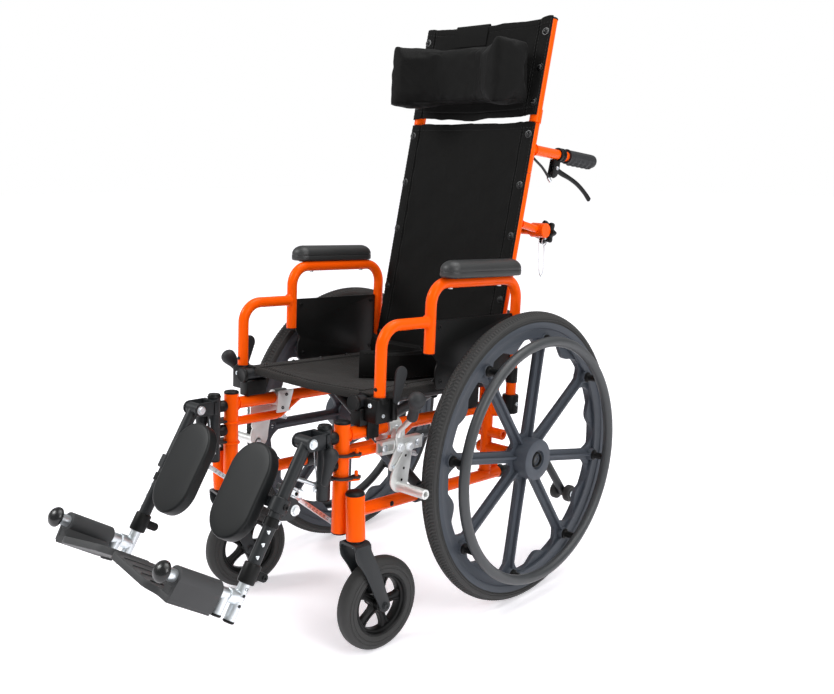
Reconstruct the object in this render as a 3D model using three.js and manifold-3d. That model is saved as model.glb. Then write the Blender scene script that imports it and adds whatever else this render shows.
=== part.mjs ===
// Folding-frame reclining wheelchair with elevating legrests and a head cushion.
// Units are millimetres, +Z is up, the chair faces -Y and the sitter's left is +X.
import * as THREE from 'three';
import { mergeVertices } from 'three/addons/utils/BufferGeometryUtils.js';
import Module from 'manifold-3d';

const wasm = await Module();
wasm.setup();

// Driving dimensions of the whole chair
const wheelRadius = 305;
const frameHalf = 168;
const wheelOffset = 100;
const wheelPlane = frameHalf + wheelOffset;
const armOffset = 37.5;
const armHalf = frameHalf + armOffset;
const legOffset = 4;
const legHalf = frameHalf + legOffset;
const dumpAngle = THREE.MathUtils.degToRad(3.4);
const backAngle = THREE.MathUtils.degToRad(11);
const legAngle = THREE.MathUtils.degToRad(60);

// Side frame tubes, measured from the rear axle
const postRadius = 15;
const railRadius = 12.5;
const frontPostY = -425.5;
const frontPostTop = 113;
const frontPostBottom = -94;
const upperRailZ = 90.5;
const lowerRailZ = -62;
const lowerRailRear = 44;
const rearPostY = -2;
const rearPostTop = 120;

// Recline hinge and back
const hingeY = 0.5;
const hingeZ = 142;
const backTubeRadius = 11;
const backTubeTop = 560;
const backSlingBottom = 58;
const backSlingTop = 559;
const headrestTop = 784;
const slingOverhang = 10;
const slingHalfWidth = frameHalf + slingOverhang;

// Seat
const seatRailZ = 147.5;
const seatRailFront = -397;
const seatRailRear = -22;
const seatRailRadius = 12.5;
const seatSlingFront = -373;
const seatSlingRear = -34;

// Legrest, measured down the leg tube from its pivot
const legPivotY = -513.4;
const legPivotZ = 91.4;
const legTubeRadius = 12.7;
const legTubeLength = 258;
const legSlideEnd = 326;
const footRodDrop = 286;

// Casters, measured in the level ground frame
const casterOffset = 38;
const casterStemX = frameHalf + casterOffset;
const casterStemY = -424;
const casterRadius = 90.6;
const casterTrail = 50;
const casterYaws = { left: -0.07, right: -0.215 };

// Clearances and drawing counts
const runningGap = 0.3;
const turningGap = 0.5;
const overrun = 1;
const roundSides = 10;
const fineSides = 12;
const smallSides = 6;
const boreSides = 8;
const ringSides = 32;
const linkSteps = 4;
const weldTolerance = 1e-4;
const half = 0.5;

const upAxis = new THREE.Vector3(0, 1, 0);

// Solids from three.js geometry

function merged(geometry) {
  const bare = geometry.index ? geometry.toNonIndexed() : geometry.clone();
  for (const name of Object.keys(bare.attributes)) {
    if (name !== 'position') bare.deleteAttribute(name);
  }
  return mergeVertices(bare, weldTolerance);
}

function signedVolume(positions, indices) {
  const a = new THREE.Vector3();
  const b = new THREE.Vector3();
  const c = new THREE.Vector3();
  let sum = 0;
  for (let i = 0; i < indices.length; i += 3) {
    a.fromArray(positions, 3 * indices[i]);
    b.fromArray(positions, 3 * indices[i + 1]);
    c.fromArray(positions, 3 * indices[i + 2]);
    sum += a.dot(b.cross(c));
  }
  return sum;
}

function solidOf(geometry) {
  const welded = merged(geometry);
  const source = welded.index.array;
  const positions = new Float32Array(welded.attributes.position.array);
  const kept = [];
  for (let i = 0; i < source.length; i += 3) {
    const [a, b, c] = [source[i], source[i + 1], source[i + 2]];
    if (a !== b && b !== c && c !== a) kept.push(a, b, c);
  }
  if (signedVolume(positions, kept) < 0) {
    for (let i = 0; i < kept.length; i += 3) {
      [kept[i + 1], kept[i + 2]] = [kept[i + 2], kept[i + 1]];
    }
  }
  const triVerts = new Uint32Array(kept);
  return new wasm.Manifold(new wasm.Mesh({ numProp: 3, vertProperties: positions, triVerts }));
}

function geometryOf(solid, mirrored) {
  const mesh = solid.getMesh();
  const geometry = new THREE.BufferGeometry();
  const positions = new Float32Array(mesh.vertProperties);
  const indices = new Uint32Array(mesh.triVerts);
  if (mirrored) {
    for (let i = 0; i < positions.length; i += 3) positions[i] = -positions[i];
    for (let i = 0; i < indices.length; i += 3) {
      [indices[i + 1], indices[i + 2]] = [indices[i + 2], indices[i + 1]];
    }
  }
  geometry.setAttribute('position', new THREE.BufferAttribute(positions, 3));
  geometry.setIndex(new THREE.BufferAttribute(indices, 1));
  geometry.computeVertexNormals();
  return geometry;
}

function join(...solids) {
  return solids.reduce((sum, solid) => sum.add(solid));
}

function cut(solid, ...tools) {
  return tools.reduce((left, tool) => left.subtract(tool), solid);
}

// A round bar from one point to another, tapered where a second radius is given
function rod(from, to, radius, sides = roundSides, endRadius = radius) {
  const start = new THREE.Vector3(...from);
  const end = new THREE.Vector3(...to);
  const axis = end.clone().sub(start);
  const geometry = new THREE.CylinderGeometry(endRadius, radius, axis.length(), sides);
  geometry.applyQuaternion(new THREE.Quaternion().setFromUnitVectors(upAxis, axis.clone().normalize()));
  const middle = start.add(end).multiplyScalar(half);
  geometry.translate(middle.x, middle.y, middle.z);
  return solidOf(geometry);
}

// A box between two opposite corners
function box(low, high) {
  const size = high.map((value, i) => value - low[i]);
  const geometry = new THREE.BoxGeometry(...size);
  geometry.translate(...high.map((value, i) => (value + low[i]) * half));
  return solidOf(geometry);
}

function ball(centre, radius, sides = roundSides) {
  const geometry = new THREE.SphereGeometry(radius, sides, Math.round(sides * half));
  geometry.translate(...centre);
  return solidOf(geometry);
}

// An outline in one plane, drawn out along the third axis between two places
const planeAxes = {
  yz: [new THREE.Vector3(0, 1, 0), new THREE.Vector3(0, 0, 1), new THREE.Vector3(1, 0, 0)],
  xy: [new THREE.Vector3(1, 0, 0), new THREE.Vector3(0, 1, 0), new THREE.Vector3(0, 0, 1)],
  xz: [new THREE.Vector3(1, 0, 0), new THREE.Vector3(0, 0, 1), new THREE.Vector3(0, -1, 0)],
};

function slab(plane, outline, from, to, holes = []) {
  const shape = new THREE.Shape(outline.map(([u, v]) => new THREE.Vector2(u, v)));
  for (const hole of holes) {
    shape.holes.push(new THREE.Path(hole.map(([u, v]) => new THREE.Vector2(u, v))));
  }
  const depth = to - from;
  const geometry = new THREE.ExtrudeGeometry(shape, { depth, bevelEnabled: false, steps: 1 });
  const [u, v, w] = planeAxes[plane];
  geometry.applyMatrix4(new THREE.Matrix4().makeBasis(u, v, w));
  const shift = plane === 'xz' ? new THREE.Vector3(0, to, 0) : w.clone().multiplyScalar(from);
  geometry.translate(shift.x, shift.y, shift.z);
  return solidOf(geometry);
}

function arc(centreU, centreV, radius, startAngle, endAngle, count) {
  const points = [];
  for (let i = 0; i <= count; i += 1) {
    const angle = startAngle + ((endAngle - startAngle) * i) / count;
    points.push([centreU + radius * Math.cos(angle), centreV + radius * Math.sin(angle)]);
  }
  return points;
}

function circle(centreU, centreV, radius, count = roundSides) {
  return arc(centreU, centreV, radius, 0, 2 * Math.PI, count).slice(0, count);
}

// The outline round two circles, as a link plate has
function linkOutline(a, radiusA, b, radiusB, count = linkSteps) {
  const angle = Math.atan2(b[1] - a[1], b[0] - a[0]);
  const length = Math.hypot(b[0] - a[0], b[1] - a[1]);
  const lean = Math.acos((radiusA - radiusB) / length);
  return [
    ...arc(a[0], a[1], radiusA, angle + lean, angle + 2 * Math.PI - lean, count),
    ...arc(b[0], b[1], radiusB, angle - lean, angle + lean, count),
  ];
}

// A body turned about a line parallel to X; profile points are radius and place along X
function turned(profile, centreY, centreZ, segments = fineSides) {
  const points = profile.map(([radius, along]) => new THREE.Vector2(radius, along));
  const geometry = new THREE.LatheGeometry(points, segments);
  geometry.rotateZ(-Math.PI * half);
  geometry.translate(0, centreY, centreZ);
  return solidOf(geometry);
}

// A path of straight runs with rounded corners; its stations are used as they are
class BentPath extends THREE.Curve {
  constructor(points, bendRadius, bendSteps) {
    super();
    this.stations = [];
    const corners = points.map((point) => new THREE.Vector3(...point));
    const last = corners.length - 1;
    const direction = (i) => corners[i + 1].clone().sub(corners[i]).normalize();
    this.stations.push({ point: corners[0], tangent: direction(0) });
    for (let i = 1; i < last; i += 1) {
      const before = direction(i - 1);
      const after = direction(i);
      const turn = before.angleTo(after);
      const reach = bendRadius * Math.tan(turn * half);
      const start = corners[i].clone().addScaledVector(before, -reach);
      const toCentre = after.clone().addScaledVector(before, -before.dot(after)).normalize();
      const centre = start.clone().addScaledVector(toCentre, bendRadius);
      for (let step = 0; step <= bendSteps; step += 1) {
        const angle = (turn * step) / bendSteps;
        const point = centre.clone().addScaledVector(toCentre, -bendRadius * Math.cos(angle));
        point.addScaledVector(before, bendRadius * Math.sin(angle));
        const tangent = before.clone().multiplyScalar(Math.cos(angle));
        tangent.addScaledVector(toCentre, Math.sin(angle));
        this.stations.push({ point, tangent });
      }
    }
    this.stations.push({ point: corners[last], tangent: direction(last - 1) });
  }

  station(share) {
    return this.stations[Math.round(share * (this.stations.length - 1))];
  }

  getPoint(share) {
    return this.station(share).point.clone();
  }

  getPointAt(share) {
    return this.station(share).point.clone();
  }

  getTangent(share) {
    return this.station(share).tangent.clone();
  }

  getTangentAt(share) {
    return this.station(share).tangent.clone();
  }
}

function bentTube(points, bendRadius, radius, sides = roundSides, bendSteps = 6) {
  const path = new BentPath(points, bendRadius, bendSteps);
  const section = new THREE.Shape(circle(0, 0, radius, sides).map(([u, v]) => new THREE.Vector2(u, v)));
  const steps = path.stations.length - 1;
  return solidOf(new THREE.ExtrudeGeometry(section, { steps, extrudePath: path, bevelEnabled: false }));
}

// A padded body: one outline repeated at each level, drawn in by that level's inset
function padded(outline, levels, place) {
  const count = outline.length;
  const inward = outline.map((point, i) => {
    const previous = outline[(i + count - 1) % count];
    const next = outline[(i + 1) % count];
    const along = new THREE.Vector2(next[0] - previous[0], next[1] - previous[1]).normalize();
    return [-along.y, along.x];
  });
  const positions = [];
  for (const [level, inset] of levels) {
    outline.forEach(([u, v], i) => {
      positions.push(...place(u + inward[i][0] * inset, v + inward[i][1] * inset, level));
    });
  }
  const indices = [];
  for (let row = 0; row < levels.length - 1; row += 1) {
    for (let i = 0; i < count; i += 1) {
      const next = (i + 1) % count;
      const [a, b] = [row * count + i, row * count + next];
      indices.push(a, b, b + count, a, b + count, a + count);
    }
  }
  const flat = outline.map(([u, v]) => new THREE.Vector2(u, v));
  const top = (levels.length - 1) * count;
  for (const [a, b, c] of THREE.ShapeUtils.triangulateShape(flat, [])) {
    indices.push(a, c, b, top + a, top + b, top + c);
  }
  const geometry = new THREE.BufferGeometry();
  geometry.setAttribute('position', new THREE.Float32BufferAttribute(positions, 3));
  geometry.setIndex(indices);
  return solidOf(geometry);
}

// A sheet of even thickness over a grid; place gives front and back points of a station
function thickSheet(columns, rows, place) {
  const positions = [];
  for (const side of [0, 1]) {
    for (let row = 0; row <= rows; row += 1) {
      for (let column = 0; column <= columns; column += 1) {
        positions.push(...place(column / columns, row / rows, side));
      }
    }
  }
  const layer = (columns + 1) * (rows + 1);
  const at = (side, row, column) => side * layer + row * (columns + 1) + column;
  const indices = [];
  const quad = (a, b, c, d) => indices.push(a, b, c, a, c, d);
  for (let row = 0; row < rows; row += 1) {
    for (let column = 0; column < columns; column += 1) {
      quad(at(0, row, column), at(0, row, column + 1), at(0, row + 1, column + 1), at(0, row + 1, column));
      quad(at(1, row, column), at(1, row + 1, column), at(1, row + 1, column + 1), at(1, row, column + 1));
    }
  }
  for (let column = 0; column < columns; column += 1) {
    quad(at(0, 0, column), at(1, 0, column), at(1, 0, column + 1), at(0, 0, column + 1));
    quad(at(0, rows, column), at(0, rows, column + 1), at(1, rows, column + 1), at(1, rows, column));
  }
  for (let row = 0; row < rows; row += 1) {
    quad(at(0, row, 0), at(0, row + 1, 0), at(1, row + 1, 0), at(1, row, 0));
    quad(at(0, row, columns), at(1, row, columns), at(1, row + 1, columns), at(0, row + 1, columns));
  }
  const geometry = new THREE.BufferGeometry();
  geometry.setAttribute('position', new THREE.Float32BufferAttribute(positions, 3));
  geometry.setIndex(indices);
  return solidOf(geometry);
}

// Finishes
const finishes = {
  orange: { color: 0xff4a0c, roughness: 0.28, metalness: 0.15 },
  blackPaint: { color: 0x1f2123, roughness: 0.45, metalness: 0.3 },
  blackPlastic: { color: 0x2b2d30, roughness: 0.6, metalness: 0 },
  greyNylon: { color: 0x3a3d42, roughness: 0.55, metalness: 0 },
  tyre: { color: 0x232323, roughness: 0.85, metalness: 0 },
  fabric: { color: 0x17181a, roughness: 0.9, metalness: 0 },
  padding: { color: 0x101113, roughness: 0.4, metalness: 0 },
  zinc: { color: 0xc3ccd2, roughness: 0.25, metalness: 0.9 },
  aluminium: { color: 0xd2d2ce, roughness: 0.4, metalness: 0.8 },
};

const chair = new THREE.Group();
const chassis = new THREE.Group();
chassis.position.z = wheelRadius;
chassis.rotation.x = -dumpAngle;
chair.add(chassis);

const back = new THREE.Group();
back.position.set(0, hingeY, hingeZ);
back.rotation.x = -backAngle;
chassis.add(back);

const legs = new THREE.Group();
legs.position.set(0, legPivotY, legPivotZ);
legs.rotation.x = legAngle - Math.PI * half;
chassis.add(legs);

function place(parent, name, solid, finish, mirrored = false) {
  const mesh = new THREE.Mesh(
    geometryOf(solid, mirrored), new THREE.MeshStandardMaterial(finishes[finish])
  );
  mesh.name = name;
  parent.add(mesh);
}

function placePair(parent, name, solid, finish) {
  place(parent, `left_${name}`, solid, finish);
  place(parent, `right_${name}`, solid, finish, true);
}

// A point of the level ground frame, given in the tilted chassis frame
function inChassis(x, y, z) {
  const rise = z - wheelRadius;
  const cos = Math.cos(dumpAngle);
  const sin = Math.sin(dumpAngle);
  return [x, y * cos - rise * sin, y * sin + rise * cos];
}

// Rear wheel sizes used by the frame's axle too
const axleRadius = 6;
const hubInnerReach = 28;
const hubOuterReach = 38;
const hubInner = wheelPlane - hubInnerReach;
const hubOuter = wheelPlane + hubOuterReach;
const hubRecessRadius = 19;
const hubRecessDepth = 6;
const axleEndWall = 8;

// Legrest hinge on the front post: lugs with upright pins
const hingePinOffset = 20;
const hingePinRadius = 3.6;
const lugThickness = 4;
const lugTops = [54, 11];
const hangerPlateThickness = 4;

// Brace sleeve on the lower rail
const sleeveFront = -225;
const sleeveRear = -143;

// Gas strut ends
const strutInset = 26;
const strutX = frameHalf - strutInset;
const strutFootY = 38;
const strutFootZ = -36;
const strutStudRadius = 4;

// Caster housing on the frame
const housingRadius = 18;
const housingBottom = 231;
const housingTop = 318;
const stemRadius = 6;
const stemLength = 60;

// Anti-tip tube
const tipTubeRadius = 9.5;
const tipBendY = 218;
const tipEndY = 304;
const tipEndZ = -160;
const tipRollerRadius = 20;

function hingePin() {
  return [frameHalf + hingePinOffset, frontPostY + hingePinOffset];
}

function sideFrame() {
  const braceTubeRadius = 9.5;
  const braceTubeZ = 52;
  const braceTubeBendY = -302;
  const braceTubeJoinY = -240;
  const gussetHalf = 6;
  const gussetRise = 55;
  const plateThickness = 4.5;
  const plateHalfWidth = 14;
  const plateFoot = 84;
  const forkHalf = backTubeRadius + turningGap;
  const hingeBoltRadius = 5;
  const sleeveInset = 18;
  const sleeveReach = 58;
  const spareReach = 44;
  const sleeveInner = frameHalf - sleeveInset;
  const axleSleeveOuter = frameHalf + sleeveReach;
  const axleSleeveRadius = 12.5;
  const spareSleeveZ = 34.7;
  const spareSleeveOuter = frameHalf + spareReach;
  const spareBoreDepth = 20;
  const armStubZ = 80;
  const armStubY = 26;
  const armStubRadius = 11;
  const armSocketTop = 120;
  const armSocketRadius = 18;
  const armSocketBoreDepth = 22;
  const armTubeBore = 11.5;
  const lugReach = 8;
  const saddleFront = -88;
  const saddleRear = -54;
  const saddleHalf = 15.5;
  const pinRise = 14;
  const x = frameHalf;
  const solids = [
    rod([x, frontPostY, frontPostBottom], [x, frontPostY, frontPostTop], postRadius, fineSides),
    rod([x, frontPostY, upperRailZ], [x, rearPostY, upperRailZ], railRadius),
    rod([x, frontPostY, lowerRailZ], [x, lowerRailRear, lowerRailZ], railRadius),
    rod([x, rearPostY, lowerRailZ], [x, rearPostY, rearPostTop], railRadius),
  ];
  solids.push(bentTube(
    [[x, frontPostY, braceTubeZ], [x, braceTubeBendY, braceTubeZ], [x, braceTubeJoinY, upperRailZ]],
    postRadius + railRadius, braceTubeRadius, boreSides, 2,
  ));
  // Caster housing and the gusset that ties it to the front post
  const low = inChassis(casterStemX, casterStemY, housingBottom);
  const high = inChassis(casterStemX, casterStemY, housingTop);
  const boreTop = inChassis(casterStemX, casterStemY, housingBottom + stemLength + overrun);
  const boreFoot = inChassis(casterStemX, casterStemY, housingBottom - overrun);
  solids.push(rod(low, high, housingRadius, fineSides));
  solids.push(box(
    [x, low[1] - gussetHalf, low[2] + gussetHalf],
    [casterStemX, low[1] + gussetHalf, low[2] + gussetHalf + gussetRise],
  ));
  // Lugs with upright pins that carry the legrest
  const pin = hingePin();
  const pad = hingePinRadius + half * lugReach;
  for (const top of lugTops) {
    const outline = linkOutline([x, frontPostY], postRadius + half * lugReach, pin, pad);
    solids.push(slab('xy', outline, top - lugThickness, top));
    solids.push(rod(
      [...pin, top - lugThickness * half], [...pin, top + pinRise], hingePinRadius, smallSides
    ));
  }
  // Recline hinge plates on the rear post
  for (const inner of [x - forkHalf - plateThickness, x + forkHalf]) {
    const outline = [
      [hingeY - plateHalfWidth, plateFoot],
      [hingeY + plateHalfWidth, plateFoot],
      ...arc(hingeY, hingeZ, plateHalfWidth, 0, Math.PI, linkSteps),
    ];
    solids.push(slab('yz', outline, inner, inner + plateThickness));
  }
  const boltReach = forkHalf + 2 * plateThickness;
  solids.push(rod(
    [x - boltReach, hingeY, hingeZ], [x + boltReach, hingeY, hingeZ], hingeBoltRadius, smallSides
  ));
  // Saddle that carries the seat rail near the back
  const saddle = box([x - saddleHalf, saddleFront, upperRailZ], [x + saddleHalf, saddleRear, seatRailZ]);
  const rest = rod(
    [
      x, saddleFront - overrun, seatRailZ
    ], [x, saddleRear + overrun, seatRailZ], seatRailRadius + turningGap,
  );
  solids.push(cut(saddle, rest));
  // Axle with its sleeve, and the spare sleeve above it
  solids.push(rod([sleeveInner, 0, 0], [axleSleeveOuter, 0, 0], axleSleeveRadius));
  const spacer = 2 * axleRadius;
  solids.push(rod(
    [axleSleeveOuter - overrun, 0, 0], [hubInner - turningGap, 0, 0], spacer - railRadius * half * half
  ));
  solids.push(rod(
    [hubInner - overrun, 0, 0], [hubOuter - hubRecessDepth - axleEndWall - turningGap, 0, 0], axleRadius
  ));
  const spare = rod(
    [sleeveInner, 0, spareSleeveZ], [spareSleeveOuter, 0, spareSleeveZ], axleSleeveRadius - overrun
  );
  const spareBore = rod(
    [spareSleeveOuter - spareBoreDepth, 0, spareSleeveZ],
    [spareSleeveOuter + overrun, 0, spareSleeveZ],
    axleRadius,
  );
  solids.push(cut(spare, spareBore));
  // Stub and socket under the rear leg of the armrest
  solids.push(rod([x, rearPostY, armStubZ], [armHalf, armStubY, armStubZ], armStubRadius, boreSides));
  const socket = rod([armHalf, armStubY, armStubZ], [armHalf, armStubY, armSocketTop], armSocketRadius);
  const socketBore = rod(
    [armHalf, armStubY, armSocketTop - armSocketBoreDepth],
    [armHalf, armStubY, armSocketTop + overrun],
    armTubeBore,
    fineSides,
  );
  solids.push(cut(socket, socketBore));
  // Stud at the foot of the gas strut
  solids.push(rod(
    [x - railRadius * half, strutFootY, lowerRailZ],
    [x - railRadius * half, strutFootY, strutFootZ + 2 * strutStudRadius], 2 * strutStudRadius, smallSides
  ));
  solids.push(rod(
    [x, strutFootY, strutFootZ], [strutX - strutStudRadius, strutFootY, strutFootZ], strutStudRadius,
    smallSides
  ));
  // Anti-tip tube out of the lower rail
  const tip = bentTube(
    [[x, lowerRailRear - railRadius, lowerRailZ], [x, tipBendY, lowerRailZ], [x, tipEndY, tipEndZ]],
    2 * railRadius, tipTubeRadius, boreSides, 2,
  );
  const rollerBore = rod(
    [
      x - postRadius, tipEndY, tipEndZ
    ], [x + postRadius, tipEndY, tipEndZ], strutStudRadius + turningGap, boreSides,
  );
  const tipEye = rod(
    [x - tipTubeRadius, tipEndY, tipEndZ], [x + tipTubeRadius, tipEndY, tipEndZ], tipTubeRadius
  );
  solids.push(cut(join(tip, tipEye), rollerBore));
  return cut(join(...solids), rod(boreFoot, boreTop, stemRadius + turningGap, boreSides));
}

function tipRollers() {
  const rollerWidth = 16;
  const rollerEdge = 3;
  const innerFace = tipTubeRadius + turningGap;
  const axle = rod(
    [frameHalf - innerFace - overrun, tipEndY, tipEndZ],
    [frameHalf + innerFace + overrun, tipEndY, tipEndZ], strutStudRadius, smallSides
  );
  const solids = [axle];
  for (const sign of [-1, 1]) {
    const near = frameHalf + sign * innerFace;
    const far = near + sign * rollerWidth;
    const profile = [
      [0, near], [tipRollerRadius - rollerEdge, near], [tipRollerRadius, near + sign * rollerEdge],
      [tipRollerRadius, far - sign * rollerEdge], [tipRollerRadius - rollerEdge, far], [0, far],
    ];
    solids.push(turned(profile, tipEndY, tipEndZ, roundSides));
  }
  return join(...solids);
}

// One half of the cross brace: lower pivot sleeve, diagonal bar and seat rail
const braceBarRadius = 11;
const braceBarYs = { left: -172, right: -196.5 };

function brace(barY, boltTo) {
  const sleeveRadius = 16.5;
  const bore = railRadius + turningGap;
  const capRadius = 15.5;
  const capDepth = 5;
  const boltRadius = 5;
  const middleZ = (seatRailZ + lowerRailZ) * half;
  const sleeve = rod(
    [-frameHalf, sleeveFront, lowerRailZ], [-frameHalf, sleeveRear, lowerRailZ], sleeveRadius
  );
  const bar = rod([-frameHalf, barY, lowerRailZ], [frameHalf, barY, seatRailZ], braceBarRadius);
  const rail = rod(
    [frameHalf, seatRailFront, seatRailZ], [frameHalf, seatRailRear, seatRailZ], seatRailRadius
  );
  const cap = rod(
    [frameHalf, seatRailFront - capDepth, seatRailZ], [frameHalf, seatRailFront, seatRailZ], capRadius
  );
  const solids = [sleeve, bar, rail, cap];
  if (boltTo !== null) solids.push(rod([0, barY, middleZ], [0, boltTo, middleZ], boltRadius, smallSides));
  const bores = [
    rod(
      [-frameHalf, sleeveFront - overrun, lowerRailZ], [-frameHalf, sleeveRear + overrun, lowerRailZ], bore
    ),
  ];
  if (boltTo === null) {
    const reach = 2 * braceBarRadius;
    bores.push(rod(
      [0, barY - reach, middleZ], [0, barY + reach, middleZ], boltRadius + turningGap, boreSides
    ));
  }
  return cut(join(...solids), ...bores);
}

// Socket for the front leg of the armrest; it also cradles the seat rail
const armFrontY = -369;
const armTubeRadius = 11;
const armFrontFoot = 126;
const armSocketRear = -331;

function armSocket() {
  const bodyReach = 15.5;
  const bodyOuter = armHalf + bodyReach;
  const bodyFront = -387;
  const bodyFoot = 112;
  const bodyTop = 160;
  const cradleFront = -394;
  const cradleRear = -345;
  const cradleHalf = 15.5;
  const strapFront = -376;
  const strapRear = -346;
  const strapFoot = 78;
  const strapThickness = 2.5;
  const strapOuter = frameHalf + railRadius + turningGap + strapThickness;
  const paddleRadius = 11;
  const paddleTop = [-337, 206];
  const paddleFoot = [-347, 158];
  const paddleThickness = 4;
  const stemFoot = [-345, 124];
  const x = frameHalf;
  const railTop = upperRailZ + railRadius + runningGap;
  const seat = box([x - cradleHalf, cradleFront, railTop], [x + cradleHalf, cradleRear, seatRailZ]);
  const body = box([x + cradleHalf - overrun, bodyFront, bodyFoot], [bodyOuter, armSocketRear, bodyTop]);
  const strap = box(
    [strapOuter - strapThickness, strapFront, strapFoot], [strapOuter, strapRear, bodyFoot + overrun]
  );
  const paddle = slab(
    'yz', linkOutline(paddleTop, paddleRadius, paddleFoot, paddleRadius * half),
    bodyOuter + paddleThickness, bodyOuter + 2 * paddleThickness
  );
  const stem = slab(
    'yz', linkOutline(paddleFoot, paddleThickness, stemFoot, paddleThickness), bodyOuter - overrun,
    bodyOuter + 2 * paddleThickness
  );
  const rail = rod(
    [x, cradleFront - overrun, seatRailZ], [
      x, armSocketRear + overrun, seatRailZ
    ], seatRailRadius + turningGap,
  );
  const bore = rod(
    [armHalf, armFrontY, armFrontFoot - runningGap], [armHalf, armFrontY, bodyTop + overrun],
    armTubeRadius + turningGap, fineSides
  );
  return cut(join(seat, body, strap, paddle, stem), rail, bore);
}

// Armrest: rear leg, top tube, front leg, and the lower front tube welded to it
const armTopZ = 365.5;
const armLowerZ = 291.5;
const armUpperY = -239;
const armRearY = 26;
const armRearFoot = 99;
const armBend = 42;

function armFrame() {
  const upperFoot = 230;
  const x = armHalf;
  const loop = bentTube(
    [
      [x, armRearY, armRearFoot], [x, armRearY, armTopZ], [x, armUpperY, armTopZ], [x, armUpperY, upperFoot]
    ],
    armBend, armTubeRadius, roundSides, 4,
  );
  const front = bentTube(
    [[x, armUpperY, armLowerZ], [x, armFrontY, armLowerZ], [x, armFrontY, armFrontFoot]],
    armBend, armTubeRadius, roundSides, 4,
  );
  return join(loop, front);
}

function armPad() {
  const padHalfWidth = 25;
  const padFront = -222;
  const padRear = 3;
  const padBottom = armTopZ + armTubeRadius + runningGap;
  const padHeight = 33;
  const crown = 16;
  const edge = 6;
  const outward = 15;
  const centre = armHalf + outward;
  const outline = [
    ...arc(centre, padRear - padHalfWidth, padHalfWidth, 0, Math.PI, 8),
    ...arc(centre, padFront + padHalfWidth, padHalfWidth, Math.PI, 2 * Math.PI, 8),
  ];
  const levels = [
    [padBottom, edge * half], [padBottom + edge * half, 0], [padBottom + padHeight * half, 0],
    [padBottom + padHeight - edge, edge * half], [padBottom + padHeight - overrun, edge + overrun],
    [padBottom + padHeight, crown],
  ];
  return padded(outline, levels, (u, v, level) => [u, v, level]);
}

function sidePanel() {
  const thickness = 4;
  const panelTop = 294;
  const panelFoot = 156;
  const step = 14;
  const stepZ = 210;
  const front = armUpperY + armTubeRadius + runningGap;
  const rear = armRearY - armTubeRadius - runningGap;
  const outline = [
    [front, panelTop], [front, stepZ + step], [front + step, stepZ], [front + step * half, stepZ - step],
    [front + step * half, panelFoot + step], [front + step, panelFoot], [rear, panelFoot], [rear, panelTop],
  ];
  return slab('yz', outline, armHalf - thickness * half, armHalf + thickness * half);
}

// Rear wheel
const rimOuter = 270;
const rimHalfWidth = 15;
const tyreHalfWidth = 18;
const spokeCount = 8;
const handrimRadius = 248;
const handrimTube = 10.5;
const handrimPlane = wheelPlane + 48;
const webHalf = 5;
const wheelPhase = THREE.MathUtils.degToRad(-8);

function tyre() {
  const bore = rimOuter + runningGap;
  const shoulder = 299;
  const side = 286;
  const crownHalf = 6;
  const beadHalf = rimHalfWidth - 3 * overrun;
  const profile = [
    [bore, wheelPlane - beadHalf], [side, wheelPlane - tyreHalfWidth],
    [shoulder, wheelPlane - 2 * crownHalf], [wheelRadius, wheelPlane - crownHalf],
    [wheelRadius, wheelPlane + crownHalf], [shoulder, wheelPlane + 2 * crownHalf],
    [side, wheelPlane + tyreHalfWidth], [bore, wheelPlane + beadHalf], [bore, wheelPlane - beadHalf],
  ];
  return turned(profile, 0, 0, ringSides);
}

// One window between two spokes, drawn about the wheel's centre
function windowOutline(middleAngle, hubEdge, rimEdge, spokeHalf, fillet, waveDepth) {
  const pitch = (2 * Math.PI) / spokeCount;
  const points = [];
  const outerHalf = pitch * half - Math.asin((spokeHalf + fillet) / rimEdge);
  const outerCount = 4;
  for (let i = 0; i <= outerCount; i += 1) {
    const share = (2 * i) / outerCount - 1;
    const angle = middleAngle + outerHalf * share;
    const radius = rimEdge - waveDepth * Math.cos(2 * Math.PI * share);
    points.push([radius * Math.cos(angle), radius * Math.sin(angle)]);
  }
  const innerHalf = pitch * half - Math.asin(spokeHalf / (hubEdge + fillet * half));
  const cornerShares = [1, 0, -1];
  const outerCorner = rimEdge - fillet;
  const cornerHalf = pitch * half - Math.asin(spokeHalf / outerCorner);
  points.push(
    [outerCorner * Math.cos(middleAngle + cornerHalf), outerCorner * Math.sin(middleAngle + cornerHalf)]
  );
  for (const share of cornerShares) {
    const angle = middleAngle + innerHalf * share;
    points.push([hubEdge * Math.cos(angle), hubEdge * Math.sin(angle)]);
  }
  points.push(
    [outerCorner * Math.cos(middleAngle - cornerHalf), outerCorner * Math.sin(middleAngle - cornerHalf)]
  );
  return points;
}

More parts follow.
